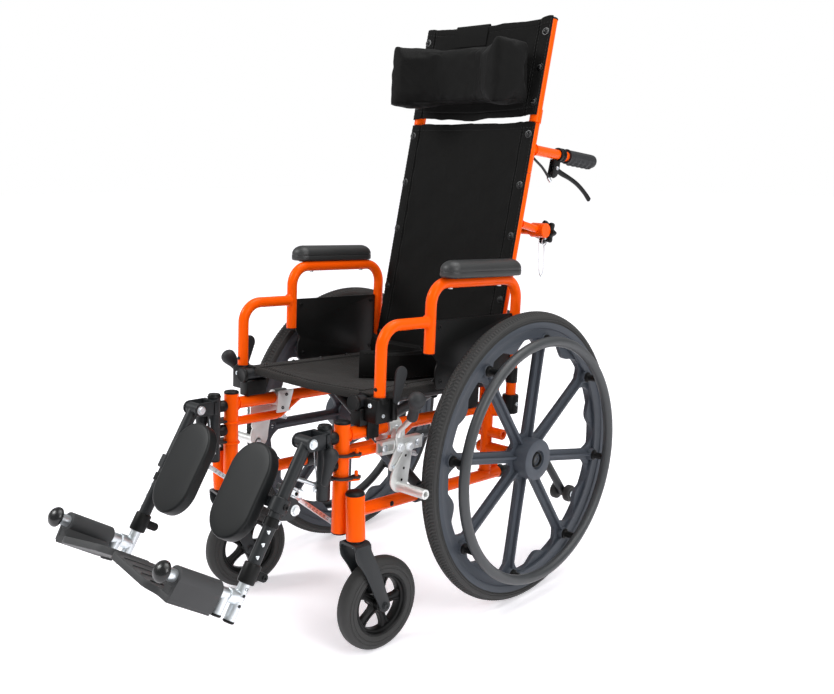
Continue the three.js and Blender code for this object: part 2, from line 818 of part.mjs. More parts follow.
function rim(phase) {
  const hubRadius = 43;
  const hubEdge = 58;
  const rimEdge = 240;
  const spokeHalf = 12;
  const fillet = 16;
  const waveDepth = 10;
  const capGap = 3;
  const ribHalf = 2.5;
  const outline = circle(0, 0, rimOuter - 2 * overrun, ringSides);
  const windows = [];
  for (let i = 0; i < spokeCount; i += 1) {
    const middle = phase + ((i + half) * 2 * Math.PI) / spokeCount;
    windows.push(windowOutline(middle, hubEdge, rimEdge, spokeHalf, fillet, waveDepth));
  }
  const web = slab('yz', outline, wheelPlane - webHalf, wheelPlane + webHalf, windows);
  const ringInner = rimEdge + waveDepth + overrun;
  const ring = turned([
    [ringInner, wheelPlane - rimHalfWidth], [rimOuter, wheelPlane - rimHalfWidth],
    [rimOuter, wheelPlane + rimHalfWidth], [ringInner, wheelPlane + rimHalfWidth],
    [ringInner, wheelPlane - rimHalfWidth],
  ], 0, 0, ringSides);
  const hub = turned([
    [0, hubInner], [hubRadius * half, hubInner], [
      hubRadius, wheelPlane - rimHalfWidth
    ], [hubRadius, hubOuter - overrun],
    [hubRadius - overrun, hubOuter], [hubRecessRadius, hubOuter], [
      hubRecessRadius, hubOuter - hubRecessDepth
    ],
    [0, hubOuter - hubRecessDepth],
  ], 0, 0, fineSides);
  const solids = [web, ring, hub];
  for (let i = 0; i < spokeCount; i += 1) {
    const angle = phase + (i * 2 * Math.PI) / spokeCount;
    const across = [-Math.sin(angle) * ribHalf, Math.cos(angle) * ribHalf];
    const ends = [hubRadius - overrun, ringInner + overrun].map(
      (radius) => [radius * Math.cos(angle), radius * Math.sin(angle)]
    );
    const rib = [
      [ends[0][0] + across[0], ends[0][1] + across[1]], [ends[0][0] - across[0], ends[0][1] - across[1]],
      [ends[1][0] - across[0], ends[1][1] - across[1]], [ends[1][0] + across[0], ends[1][1] + across[1]],
    ];
    solids.push(slab('yz', rib, wheelPlane - rimHalfWidth, wheelPlane + rimHalfWidth));
  }
  const capBase = hubOuter - hubRecessDepth - overrun;
  solids.push(rod(
    [capBase, 0, 0], [hubOuter - overrun, 0, 0], hubRecessRadius - capGap, fineSides,
    hubRecessRadius - 2 * capGap
  ));
  const boreEnd = hubOuter - hubRecessDepth - axleEndWall;
  const bore = rod([hubInner - overrun, 0, 0], [boreEnd, 0, 0], axleRadius + turningGap, fineSides);
  return cut(join(...solids), bore);
}

function handrim(phase) {
  const stubRadius = 7;
  const stubStart = wheelPlane + rimHalfWidth + runningGap;
  const sectionSides = 8;
  const section = circle(0, 0, handrimTube, sectionSides).map(
    ([u, v]) => [handrimRadius + u, handrimPlane + v]
  );
  section.push(section[0]);
  const solids = [turned(section, 0, 0, ringSides)];
  for (let i = 0; i < spokeCount; i += 1) {
    const angle = phase + (i * 2 * Math.PI) / spokeCount;
    const [y, z] = [handrimRadius * Math.cos(angle), handrimRadius * Math.sin(angle)];
    solids.push(rod([stubStart, y, z], [handrimPlane, y, z], stubRadius, smallSides));
  }
  return join(...solids);
}

// Caster, drawn about its stem; the wheel trails behind in +Y
const casterHalfWidth = 17;
const casterBoltRadius = 4;

function casterFork() {
  const crownHalf = 25;
  const crownTop = housingBottom - 3 * overrun;
  const crownThickness = 5;
  const crownFront = -19;
  const crownRear = 17;
  const plateThickness = 4;
  const axleEnd = 12;
  const washerRadius = 14;
  const elbowDrop = 58;
  const elbowShift = 20;
  const crown = box([-crownHalf, crownFront, crownTop - crownThickness], [crownHalf, crownRear, crownTop]);
  const stem = rod([0, 0, crownTop - overrun], [0, 0, housingBottom + stemLength], stemRadius);
  const washer = rod([0, 0, crownTop - overrun], [0, 0, housingBottom - runningGap], washerRadius);
  const bolt = rod(
    [-crownHalf - overrun, casterTrail, casterRadius], [crownHalf + overrun, casterTrail, casterRadius],
    casterBoltRadius, smallSides,
  );
  const solids = [crown, stem, washer, bolt];
  for (const inner of [-crownHalf, crownHalf - plateThickness]) {
    const outline = [
      [crownFront, crownTop], [crownFront, crownTop - elbowDrop * half],
      [crownFront + elbowShift, crownTop - elbowDrop],
      ...arc(casterTrail, casterRadius, axleEnd, Math.PI + half, 2 * Math.PI + half, linkSteps),
      [crownRear + elbowShift, crownTop - elbowDrop], [
        crownRear, crownTop - elbowDrop * half * half
      ], [crownRear, crownTop],
    ];
    solids.push(slab('yz', outline, inner, inner + plateThickness));
    const bossStart = inner < 0 ? inner : casterHalfWidth + turningGap;
    const bossEnd = inner < 0 ? -casterHalfWidth - turningGap : inner + plateThickness;
    solids.push(rod(
      [bossStart, casterTrail, casterRadius], [bossEnd, casterTrail, casterRadius], axleEnd * half,
      smallSides
    ));
  }
  return join(...solids);
}

function casterWheel() {
  const rimRadius = 62;
  const rimInner = 52;
  const spokes = 5;
  const spokeHalf = 7;
  const hubRadius = 15;
  const webHalf = 6;
  const treadHalf = 8;
  const side = casterRadius - 10;
  const tread = turned([
    [
      rimInner, -rimRadius * half * half
    ], [rimRadius, -casterHalfWidth], [side, -casterHalfWidth], [casterRadius, -treadHalf],
    [casterRadius, treadHalf], [side, casterHalfWidth], [rimRadius, casterHalfWidth], [
      rimInner, rimRadius * half * half
    ],
    [rimInner, -rimRadius * half * half],
  ], 0, 0, 2 * fineSides);
  const solids = [tread, rod([-casterHalfWidth, 0, 0], [casterHalfWidth, 0, 0], hubRadius)];
  for (let i = 0; i < spokes; i += 1) {
    const angle = (i * 2 * Math.PI) / spokes;
    const [cos, sin] = [Math.cos(angle), Math.sin(angle)];
    const reach = rimInner + 2 * overrun;
    const outline = [
      [-sin * spokeHalf, cos * spokeHalf], [sin * spokeHalf, -cos * spokeHalf],
      [reach * cos + sin * spokeHalf, reach * sin - cos * spokeHalf],
      [reach * cos - sin * spokeHalf, reach * sin + cos * spokeHalf],
    ];
    solids.push(slab('yz', outline, -webHalf, webHalf));
  }
  const bore = rod(
    [-casterHalfWidth - overrun, 0, 0], [casterHalfWidth + overrun, 0, 0], casterBoltRadius + turningGap,
    boreSides
  );
  return cut(join(...solids), bore);
}

// Wheel lock: rail clamp with its channel, hand lever, and shoe arm
const lockChannelGap = 22;
const lockChannelDepth = 16;
const lockChannelInner = frameHalf + lockChannelGap;
const lockChannelOuter = lockChannelInner + lockChannelDepth;
const lockStudRadius = 4;
const leverPivot = [-313.6, 58];
const shoePivot = [-293.5, 58];
const leverFace = lockChannelOuter + 2 * turningGap;
const leverThickness = 3.5;
const shoeArmFace = leverFace + leverThickness + 2 * turningGap;

function lockBracket() {
  const channelFront = -358;
  const channelRear = -248;
  const channelFoot = 48;
  const channelTop = 73;
  const lip = 5;
  const clampFront = -312;
  const clampRear = -286;
  const clampRadius = 17.5;
  const x = frameHalf;
  const channel = cut(
    box([lockChannelInner, channelFront, channelFoot], [lockChannelOuter, channelRear, channelTop]),
    box(
      [lockChannelOuter - lip, channelFront - overrun, channelFoot + 2 * lip - lip * half],
      [lockChannelOuter + overrun, leverPivot[0] - 3 * lockStudRadius, channelTop - 2 * lip + lip * half],
    ),
  );
  const ring = cut(
    rod([x, clampFront, upperRailZ], [x, clampRear, upperRailZ], clampRadius),
    rod(
      [x, clampFront - overrun, upperRailZ], [x, clampRear + overrun, upperRailZ], railRadius + turningGap
    ),
  );
  const tab = box(
    [
      x + railRadius + turningGap + overrun, clampFront, channelTop - lip
    ], [lockChannelInner + lip, clampRear, upperRailZ],
  );
  const studs = [
    rod(
      [lockChannelInner + lip, ...leverPivot], [leverFace + leverThickness + turningGap, ...leverPivot],
      lockStudRadius, smallSides
    ),
    rod(
      [lockChannelInner + lip, ...shoePivot], [shoeArmFace + 2 * leverThickness, ...shoePivot],
      lockStudRadius, smallSides
    ),
  ];
  return join(channel, ring, tab, ...studs);
}

function lockLever() {
  const blade = 7;
  const foot = [-333, 24];
  const bend = [-318, 82];
  const barRadius = 5.5;
  const gripRise = 43;
  const gripOut = 43;
  const gripForward = 11;
  const bulbRise = 42;
  const bulbOut = 31;
  const bulbForward = 22;
  const waistShare = 0.6;
  const gripBaseRadius = 9;
  const gripWaistRadius = 8;
  const bulbRadius = 13;
  const face = leverFace;
  const start = [face + leverThickness * half, bend[0], bend[1]];
  const base = [start[0] + gripOut, start[1] - gripForward, start[2] + gripRise];
  const reach = [bulbOut, -bulbForward, bulbRise];
  const waist = base.map((value, i) => value + reach[i] * waistShare);
  const top = base.map((value, i) => value + reach[i]);
  const lower = slab('yz', linkOutline(foot, blade, leverPivot, blade), face, face + leverThickness);
  const middle = slab('yz', linkOutline(leverPivot, blade, bend, blade), face, face + leverThickness);
  const bar = rod(start, base, barRadius, boreSides);
  const stem = rod(base, waist, gripBaseRadius, roundSides, gripWaistRadius);
  const taper = rod(waist, top, gripWaistRadius, roundSides, bulbRadius);
  const bulb = ball(top, bulbRadius);
  const bore = rod(
    [face - overrun, ...leverPivot], [face + leverThickness + overrun, ...leverPivot],
    lockStudRadius + turningGap, boreSides,
  );
  return cut(join(lower, middle, bar, stem, taper, bulb), bore);
}

const shoeY = -320.5;
const shoeZ = -15;
const shoeRadius = 9.5;

function lockShoe() {
  const armRadius = 9;
  const slotRadius = 2.5;
  const shoeOuter = wheelPlane + tyreHalfWidth;
  const face = shoeArmFace;
  const arm = slab(
    'yz', linkOutline(shoePivot, armRadius, [shoeY, shoeZ], armRadius + overrun), face,
    face + leverThickness
  );
  const shoe = rod([face, shoeY, shoeZ], [shoeOuter, shoeY, shoeZ], shoeRadius);
  const hollow = rod(
    [shoeOuter - shoeRadius, shoeY, shoeZ], [shoeOuter + overrun, shoeY, shoeZ], shoeRadius * half
  );
  const holes = [0.28, 0.5, 0.72].map((share) => {
    const y = shoePivot[0] + (shoeY - shoePivot[0]) * share;
    const z = shoePivot[1] + (shoeZ - shoePivot[1]) * share;
    return rod([face - overrun, y, z], [face + leverThickness + overrun, y, z], slotRadius, smallSides);
  });
  const bore = rod(
    [face - overrun, ...shoePivot], [face + leverThickness + overrun, ...shoePivot],
    lockStudRadius + turningGap, boreSides
  );
  return cut(join(arm, shoe), hollow, bore, ...holes);
}

// Legrest hanger, drawn in the chassis frame
const hangerTubeRadius = 13;
const hangerY = -468;
const hangerFoot = -22;
const hangerTop = 110;
const legBoltRadius = 5;
const channelInset = 21;
const channelReach = 22;
const channelInner = frameHalf - channelInset;
const channelOuter = frameHalf + channelReach;
const channelWall = 3;

function hanger() {
  const capRadius = 12;
  const capRise = 6;
  const padRadius = 12;
  const padZs = [88, 37];
  const clawOuter = 27;
  const pinPad = 9;
  const neckHalf = 10;
  const wallFoot = 78;
  const wallTop = 106;
  const wallRound = 14;
  const webFront = hangerY - hangerTubeRadius - channelWall;
  const webRear = hangerY - hangerTubeRadius * half;
  const handleTop = [channelOuter + 6, hangerY - 8, 66];
  const handleFoot = [channelOuter + 4, hangerY - 20, 14];
  const handleTopRadius = 11;
  const handleFootRadius = 7.5;
  const x = frameHalf;
  const pin = hingePin();
  const solids = [
    rod([x, hangerY, hangerFoot], [x, hangerY, hangerTop], hangerTubeRadius),
    rod([x, hangerY, hangerTop - overrun], [x, hangerY, hangerTop + capRise], capRadius),
    box([channelInner, webFront, wallFoot], [channelOuter, webRear, wallTop]),
  ];
  for (const z of padZs) {
    solids.push(rod([x, hangerY, z], [x, frontPostY - postRadius - 2 * turningGap, z], padRadius));
  }
  for (const inner of [channelInner, channelOuter - channelWall]) {
    const outline = [
      [webRear, wallFoot], [webRear, wallTop],
      ...arc(legPivotY, legPivotZ, wallRound, Math.PI * half, Math.PI * 1.5, linkSteps),
    ];
    solids.push(slab('yz', outline, inner, inner + channelWall));
  }
  solids.push(rod(
    [channelInner, legPivotY, legPivotZ], [
      channelOuter + 2 * channelWall, legPivotY, legPivotZ
    ], legBoltRadius, smallSides,
  ));
  // Claws that drop over the hinge pins, passing outside the post
  const clawStart = -Math.PI * half;
  const clawEnd = Math.PI * half * half;
  const clawInner = postRadius + 2 * turningGap;
  for (const top of lugTops) {
    const low = top + runningGap;
    const high = low + hangerPlateThickness;
    const ring = [
      ...arc(x, frontPostY, clawOuter, clawStart, clawEnd, linkSteps),
      ...arc(x, frontPostY, clawInner, clawEnd, clawStart, linkSteps),
    ];
    const neck = box([x - neckHalf, hangerY, low], [x + neckHalf, frontPostY - clawInner, high]);
    const pad = slab('xy', circle(pin[0], pin[1], pinPad, boreSides), low, high);
    const room = rod([x, frontPostY, low - overrun], [x, frontPostY, high + overrun], clawInner, fineSides);
    const hole = rod(
      [...pin, low - overrun], [...pin, high + overrun], hingePinRadius + 2 * turningGap, boreSides
    );
    solids.push(cut(join(slab('xy', ring, low, high), neck, pad), room, hole));
  }
  solids.push(rod(handleTop, handleFoot, handleTopRadius, roundSides, handleFootRadius));
  solids.push(ball(handleTop, handleTopRadius + overrun));
  solids.push(rod(
    [channelOuter - channelWall * half, handleTop[1], wallFoot + legBoltRadius], handleTop, legBoltRadius,
    smallSides
  ));
  return join(...solids);
}

// Leg tube, drawn about the leg pivot with the tube hanging down -Z and the rear at +Y
const slideRadius = 10.2;
const ratchetPivot = [27, -88];
const ratchetInset = 8;
const ratchetX = channelInner - ratchetInset;
const calfClampTop = -105;
const calfClampFoot = -131;

function legTube() {
  const sleeveRadius = 12;
  const sleeveInner = channelInner + channelWall + turningGap;
  const sleeveOuter = channelOuter - channelWall - turningGap;
  const collarRadius = 15.5;
  const collarRise = 34;
  const stopHoleTop = -167;
  const stopHolePitch = 23;
  const stopHoleRadius = 3;
  const stopHoles = 3;
  const tabReach = 34;
  const tabRadius = 8;
  const boreTop = -140;
  const x = legHalf;
  const armHalfHeight = 6;
  const solids = [
    rod([sleeveInner, 0, 0], [sleeveOuter, 0, 0], sleeveRadius),
    rod([x, 0, 0], [x, 0, -legTubeLength], legTubeRadius),
    rod([x, 0, collarRise - legTubeLength], [x, 0, -legTubeLength - 2 * overrun], collarRadius),
    slab(
      'yz',
      linkOutline(
        [collarRadius, -legTubeLength + collarRise * half], tabRadius,
        [tabReach, -legTubeLength + collarRise * half], tabRadius
      ),
      x - tabRadius * half, x + tabRadius * half
    ),
    box(
      [ratchetX + legBoltRadius, 0, ratchetPivot[1] - armHalfHeight],
      [x, ratchetPivot[0] + armHalfHeight, ratchetPivot[1] + armHalfHeight]
    ),
    rod(
      [ratchetX - legBoltRadius, ...ratchetPivot], [x, ...ratchetPivot], legBoltRadius - overrun, smallSides
    ),
  ];
  const tools = [
    rod(
      [sleeveInner - overrun, 0, 0], [sleeveOuter + overrun, 0, 0], legBoltRadius + turningGap, boreSides
    ),
    rod([x, 0, boreTop], [x, 0, -legTubeLength - 3 * overrun], slideRadius + 2 * turningGap),
  ];
  for (let i = 0; i < stopHoles; i += 1) {
    const z = stopHoleTop - i * stopHolePitch;
    tools.push(rod([x, 0, z], [x + collarRadius, 0, z], stopHoleRadius, smallSides));
  }
  return cut(join(...solids), ...tools);
}

// Ratchet bar that holds the leg tube's angle; its free end trails behind the front post
function legStrut() {
  const barLength = 172;
  const barHalf = 4.5;
  const barThickness = 4;
  const barAngle = THREE.MathUtils.degToRad(6.3);
  const eyeRadius = 9;
  const blockHalf = 11;
  const blockReach = 34;
  const [y, z] = ratchetPivot;
  const direction = [Math.cos(barAngle), -Math.sin(barAngle)];
  const end = [y + barLength * direction[0], z + barLength * direction[1]];
  const blockEnd = [y + blockReach * direction[0], z + blockReach * direction[1]];
  const inner = ratchetX - barThickness * half;
  const outer = ratchetX + barThickness * half;
  const bar = slab('yz', linkOutline([y, z], barHalf, end, barHalf), inner, outer);
  const eye = slab(
    'yz', linkOutline([y, z], eyeRadius, blockEnd, blockHalf * half + barHalf * half),
    inner - barHalf * half, outer + overrun
  );
  const bore = rod(
    [inner - blockHalf, y, z], [outer + blockHalf, y, z], legBoltRadius - overrun + turningGap, boreSides
  );
  return cut(join(bar, eye), bore);
}

// Slide tube with the footrest rod, its end knob and the short stub behind it
const footRodRadius = 10.5;
const footRodReach = 166;
const plateRear = 52;
const plateFront = 147;
const plateLip = 18;

function legSlide() {
  const slideTop = -150;
  const stubAt = 34;
  const stubReach = 36;
  const knobRadius = 19.5;
  const knobShares = [1, 0.97, 0.78, 0.42, 0];
  const knobDepthShares = [0, 0.3, 0.66, 0.92, 1];
  const x = legHalf;
  const z = -footRodDrop;
  const profile = [
    [0, 0], ...knobShares.map((share, i) => [share * knobRadius, knobDepthShares[i] * knobRadius])
  ];
  const knob = new THREE.LatheGeometry(profile.map(([u, v]) => new THREE.Vector2(u, v)), roundSides);
  knob.rotateX(Math.PI);
  knob.translate(x, -footRodReach + overrun, z);
  return join(
    rod([x, 0, slideTop], [x, 0, -legSlideEnd], slideRadius),
    rod([x, 0, z], [x, -footRodReach, z], footRodRadius),
    rod([x, -stubAt, z], [x, -stubAt, z - stubReach], footRodRadius),
    solidOf(knob),
  );
}

function footplate() {
  const barrelRadius = 17.5;
  const skirtThickness = 6;
  const skirtFoot = -37;
  const skirtInner = barrelRadius - skirtThickness;
  const plateTop = -28;
  const plateFoot = -41;
  const plateReach = 161;
  const chamfer = 14;
  const plateRoom = 15;
  const tilt = THREE.MathUtils.degToRad(8);
  const barrel = rod([0, -plateRear, 0], [0, -plateFront, 0], barrelRadius, fineSides);
  const skirt = box([skirtInner, -plateFront, skirtFoot], [barrelRadius, -plateRear, 0]);
  const wall = box(
    [-barrelRadius * half, -plateFront, plateTop - overrun],
    [barrelRadius * half, -plateRear, -footRodRadius]
  );
  const lipFront = -plateFront - plateLip;
  const outline = [
    [skirtInner + overrun, -plateRear], [
      -plateReach + chamfer, -plateRear
    ], [-plateReach, -plateRear - chamfer],
    [-plateReach, lipFront + chamfer], [-plateReach + chamfer, lipFront], [-plateRoom - plateLip, lipFront],
    [-plateRoom, -plateFront], [skirtInner + overrun, -plateFront],
  ];
  const plate = slab('xy', outline, plateFoot, plateTop);
  const bore = rod(
    [0, -plateRear + overrun, 0], [0, -plateFront - overrun, 0], footRodRadius + turningGap, fineSides
  );
  const solid = cut(join(barrel, skirt, wall, plate), bore);
  const geometry = geometryOf(solid, false);
  geometry.rotateY(tilt);
  geometry.translate(legHalf, 0, -footRodDrop);
  return solidOf(geometry);
}

function calfPad() {
  const padCentreX = 92;
  const padCentreZ = -118;
  const padHalfWidth = 53;
  const padHalfLength = 91;
  const padBack = -6;
  const padDepth = 24;
  const edge = 4;
  const rearInset = 3;
  const clampRadius = 17.5;
  const armHalfHeight = 9;
  const armThickness = 4;
  const earReach = 34;
  const earHalf = 3;
  const straight = padHalfLength - padHalfWidth;
  const outline = [
    ...arc(padCentreX, padCentreZ + straight, padHalfWidth, 0, Math.PI, 10),
    ...arc(padCentreX, padCentreZ - straight, padHalfWidth, Math.PI, 2 * Math.PI, 10),
  ];
  const front = padBack - padDepth;
  const levels = [
    [padBack, rearInset], [padBack - edge * half, 0], [front + edge, 0], [
      front + edge * half * half, edge * half
    ], [front, edge],
  ];
  const pad = padded(outline, levels, (u, v, level) => [u, level, v]);
  const clamp = rod([legHalf, 0, calfClampTop], [legHalf, 0, calfClampFoot], clampRadius);
  const armZ = (calfClampTop + calfClampFoot) * half;
  const arm = box(
    [padCentreX, padBack - overrun, armZ - armHalfHeight], [
      legHalf, padBack + armThickness, armZ + armHalfHeight
    ],
  );
  const ear = box(
    [legHalf - earHalf, 0, armZ - armHalfHeight], [legHalf + earHalf, earReach, armZ + armHalfHeight]
  );
  const bore = rod(
    [legHalf, 0, calfClampTop + overrun], [legHalf, 0, calfClampFoot - overrun], legTubeRadius + turningGap,
    fineSides
  );
  return cut(join(pad, clamp, arm, ear), bore);
}

// Where a sheet's column lies: the outermost run flat over a tube, the others share the span
function slingStation(across, columns, flatHalf, outerHalf) {
  if (across === 0) return [-outerHalf, -1];
  if (across === 1) return [outerHalf, 1];
  const share = (2 * (across * columns - 1)) / (columns - 2) - 1;
  return [share * flatHalf, share];
}

// Back: all drawn about the recline hinge with the tube up +Z and the rear at +Y
const handleBase = 504;
const handleAngle = THREE.MathUtils.degToRad(7.6);
const handleLength = 236;
const handleRadius = 11;
const gripStart = 133;
const gripEnd = 242;
const leverPivotY = 98;
const leverPivotZ = 487;
const spreaderY = 82;
const spreaderZ = 345;
const spreaderRadius = 11;
const spreaderEyeHalf = 19;
const spreaderEyeRadius = 16;
const knobStudRadius = 5;
const strutHeadY = 25;
const strutHeadZ = 150;

function alongHandle(x, distance, below = 0) {
  const cos = Math.cos(handleAngle);
  const sin = Math.sin(handleAngle);
  return [x, distance * cos + below * sin, handleBase + distance * sin - below * cos];
}

function backTube() {
  const tubeFoot = -12;
  const spigotBore = 9.5;
  const spigotDepth = 64;
  const stubRadius = 8;
  const clampRadius = 15.5;
  const clampStart = 100;
  const clampEnd = 118;
  const housingHalf = 6;
  const housingFrontY = 84;
  const housingRearY = 106;
  const housingFoot = 466;
  const slotRoom = 4;
  const cableRadius = 2.5;
  const hingeBore = 5 + turningGap;
  const x = frameHalf;
  const housing = cut(
    box([x - housingHalf, housingFrontY, housingFoot], [x + housingHalf, housingRearY, handleBase]),
    box(
      [x - housingHalf * half - turningGap, leverPivotY - clampRadius, housingFoot - overrun],
      [x + housingHalf * half + turningGap, housingRearY + overrun, leverPivotZ + housingHalf + slotRoom],
    ),
  );
  const leverPin = rod(
    [x - housingHalf, leverPivotY, leverPivotZ], [x + housingHalf, leverPivotY, leverPivotZ], 2 * overrun,
    smallSides
  );
  const solids = [
    rod([x, 0, tubeFoot], [x, 0, backTubeTop], backTubeRadius),
    rod(alongHandle(x, 0), alongHandle(x, handleLength), handleRadius),
    rod(alongHandle(x, clampStart), alongHandle(x, clampEnd), clampRadius),
    housing,
    leverPin,
    rod(
      [x, backTubeRadius * half, leverPivotZ - housingHalf],
      [x, housingFrontY + overrun, housingFoot + housingHalf], cableRadius, smallSides
    ),
    rod([x, 0, spreaderZ], [x, spreaderY, spreaderZ], stubRadius, boreSides),
    rod(
      [x - spreaderEyeHalf, spreaderY, spreaderZ], [x + spreaderEyeHalf, spreaderY, spreaderZ],
      spreaderEyeRadius,
    ),
    slab(
      'yz', linkOutline([0, strutHeadZ], backTubeRadius, [strutHeadY, strutHeadZ], 2 * strutStudRadius),
      x - strutStudRadius, x + strutStudRadius
    ),
    rod([x, strutHeadY, strutHeadZ], [x - postRadius, strutHeadY, strutHeadZ], strutStudRadius, smallSides),
  ];
  const tools = [
    rod([x - postRadius, 0, 0], [x + postRadius, 0, 0], hingeBore, boreSides),
    rod([x, 0, backTubeTop - spigotDepth], [x, 0, backTubeTop + overrun], spigotBore, boreSides),
    rod(
      [x - spreaderEyeHalf - overrun, spreaderY, spreaderZ],
      [x + spreaderEyeHalf + overrun, spreaderY, spreaderZ],
      spreaderRadius + turningGap
    ),
    rod(
      [x, spreaderY, spreaderZ], [x, spreaderY + spreaderEyeRadius + overrun, spreaderZ],
      knobStudRadius + turningGap, boreSides,
    ),
  ];
  return cut(join(...solids), ...tools);
}

function grip() {
  const gripRadius = 15;
  const ridgeRadius = 4;
  const ridges = 4;
  const solid = rod(
    alongHandle(frameHalf, gripStart), alongHandle(frameHalf, gripEnd), gripRadius, roundSides
  );
  const solids = [solid];
  for (let i = 0; i < ridges; i += 1) {
    const along = gripStart + ((gripEnd - gripStart) * (i + 1)) / (ridges + 1);
    const centre = alongHandle(frameHalf, along, gripRadius - overrun);
    solids.push(rod(
      [centre[0] - 2 * ridgeRadius, centre[1], centre[2]],
      [centre[0] + 2 * ridgeRadius, centre[1], centre[2]], ridgeRadius, smallSides
    ));
  }
  const bore = rod(
    alongHandle(frameHalf, gripStart - overrun), alongHandle(frameHalf, handleLength + turningGap),
    handleRadius + turningGap
  );
  return cut(join(...solids), bore);
}

function reclineLever() {
  const bladeHalf = 3;
  const eyeRadius = 6;
  const reaches = [0, 28, 62, 97, 130, 157];
  const drops = [0, 5, 8, 14, 25, 38];
  const tipHalf = 5;
  const halfWidths = [eyeRadius, eyeRadius, tipHalf, tipHalf, tipHalf, tipHalf + half];
  const points = reaches.map((reach, i) => [leverPivotY + reach, leverPivotZ - drops[i]]);
  const solids = [];
  for (let i = 0; i < points.length - 1; i += 1) {
    const outline = linkOutline(points[i], halfWidths[i], points[i + 1], halfWidths[i + 1], 5);
    solids.push(slab('yz', outline, frameHalf - bladeHalf, frameHalf + bladeHalf));
  }
  const bore = rod(
    [frameHalf - eyeRadius, leverPivotY, leverPivotZ], [frameHalf + eyeRadius, leverPivotY, leverPivotZ],
    2 * overrun + turningGap, 8,
  );
  return cut(join(...solids), bore);
}

function spreaderBar() {
  const knobRadius = 27;
  const knobDip = 3.5;
  const lobes = 7;
  const knobThickness = 16;
  const barEnd = frameHalf + spreaderEyeHalf;
  const knobFace = spreaderY + spreaderEyeRadius + turningGap;
  const solids = [rod([-barEnd, spreaderY, spreaderZ], [barEnd, spreaderY, spreaderZ], spreaderRadius)];
  for (const x of [-frameHalf, frameHalf]) {
    const outline = [];
    for (let i = 0; i < 4 * lobes; i += 1) {
      const angle = (i * 2 * Math.PI) / (4 * lobes);
      const radius = knobRadius - knobDip + knobDip * Math.cos(lobes * angle);
      outline.push([x + radius * Math.cos(angle), spreaderZ + radius * Math.sin(angle)]);
    }
    solids.push(slab('xz', outline, knobFace, knobFace + knobThickness));
    const studEnd = [x, knobFace + overrun, spreaderZ];
    solids.push(rod([x, spreaderY, spreaderZ], studEnd, knobStudRadius, boreSides));
  }
  return join(...solids);
}

const headrestCollarRadius = 13;
const slingDepth = 4;
const headrestSlingBottom = 574;
const headrestSlingTop = 779;

function headrestTube() {
  const collarHeight = 30;
  const spigotRadius = 9;
  const spigotReach = 58;
  const x = frameHalf;
  const foot = backTubeTop + runningGap;
  return join(
    rod([x, 0, foot - spigotReach], [x, 0, foot + overrun], spigotRadius, boreSides),
    rod([x, 0, foot], [x, 0, headrestTop], backTubeRadius),
    rod([x, 0, foot], [x, 0, foot + collarHeight], headrestCollarRadius),
  );
}

// A sling between the two back tubes, hanging a little behind them in the middle
function sling(bottom, top, rows, rearFace, sag, foldDepth) {
  const columns = 10;
  const folds = 5;
  const flatHalf = frameHalf - backTubeRadius - overrun;
  return thickSheet(columns, rows, (across, up, side) => {
    const [x, share] = slingStation(across, columns, flatHalf, slingHalfWidth);
    const sagHere = sag * (1 - share * share);
    const fold = foldDepth * Math.sin(folds * Math.PI * up) * Math.sin(2 * Math.PI * share) * (1 - up);
    const y = rearFace - (side === 0 ? slingDepth : 0) + sagHere + fold;
    return [x, y, bottom + (top - bottom) * up];
  });
}

// Head cushion: a C-shaped block with two wings; its top leans forward from the headrest sling
function headCushion() {
  const cushionHalf = 165;
  const cushionHeight = 126;
  const cushionFoot = 599;
  const lean = THREE.MathUtils.degToRad(14.6);
  const edge = 4;
  const topShare = 0.86;
  const halfShares = [0, 0.3, 0.48, 0.6, 0.7, 0.78, 0.88, 0.96, 1];
  const depths = [48, 52, 66, 92, 112, 120, 118, 108, 92];
  const rearCorner = 22;
  const rearFlat = frameHalf - backTubeRadius - overrun;
  const front = halfShares.map((share, i) => [share * cushionHalf, depths[i]]);
  const frontHalf = [
    ...front, [cushionHalf, rearCorner], [(cushionHalf + rearFlat) * half, rearCorner * half * half],
    [rearFlat, 0]
  ];
  const mirrored = frontHalf.slice(1).reverse().map(([u, v]) => [-u, v]);
  const outline = [...frontHalf, ...mirrored].reverse();
  const insets = [
    [0, 1], [edge, 0.25], [2 * edge, 0], [cushionHeight * half, -half], [cushionHeight - 2 * edge, 0]
  ];
  const levels = [
    ...insets, [cushionHeight - edge, 0.25], [cushionHeight, 1]
  ].map(([h, share]) => [h, share * edge]);
  const cos = Math.cos(lean);
  const sin = Math.sin(lean);
  const seat = Math.min(...levels.map(([h, inset]) => inset * cos + h * sin));
  const rear = seat - headrestCollarRadius - slingDepth - 2 * runningGap;
  return padded(outline, levels, (u, v, h) => {
    const depth = v * (1 - (1 - topShare) * (h / cushionHeight));
    return [u, rear - depth * cos - h * sin, cushionFoot + h * cos - depth * sin];
  });
}

// Gas strut behind each back tube, drawn along its rest line in the chassis frame
function strutLine() {
  const cos = Math.cos(backAngle);
  const sin = Math.sin(backAngle);
  const headY = hingeY + strutHeadY * cos + strutHeadZ * sin;
  const headZ = hingeZ - strutHeadY * sin + strutHeadZ * cos;
  const length = Math.hypot(headY - strutFootY, headZ - strutFootZ);
  const direction = [(headY - strutFootY) / length, (headZ - strutFootZ) / length];
  return {
    length,
    at: (distance) => [strutX, strutFootY + direction[0] * distance, strutFootZ + direction[1] * distance]
  };
}

const strutBody = 168;
const strutHeadGap = 8;
const strutGrip = 32;
const strutRodRadius = 4;

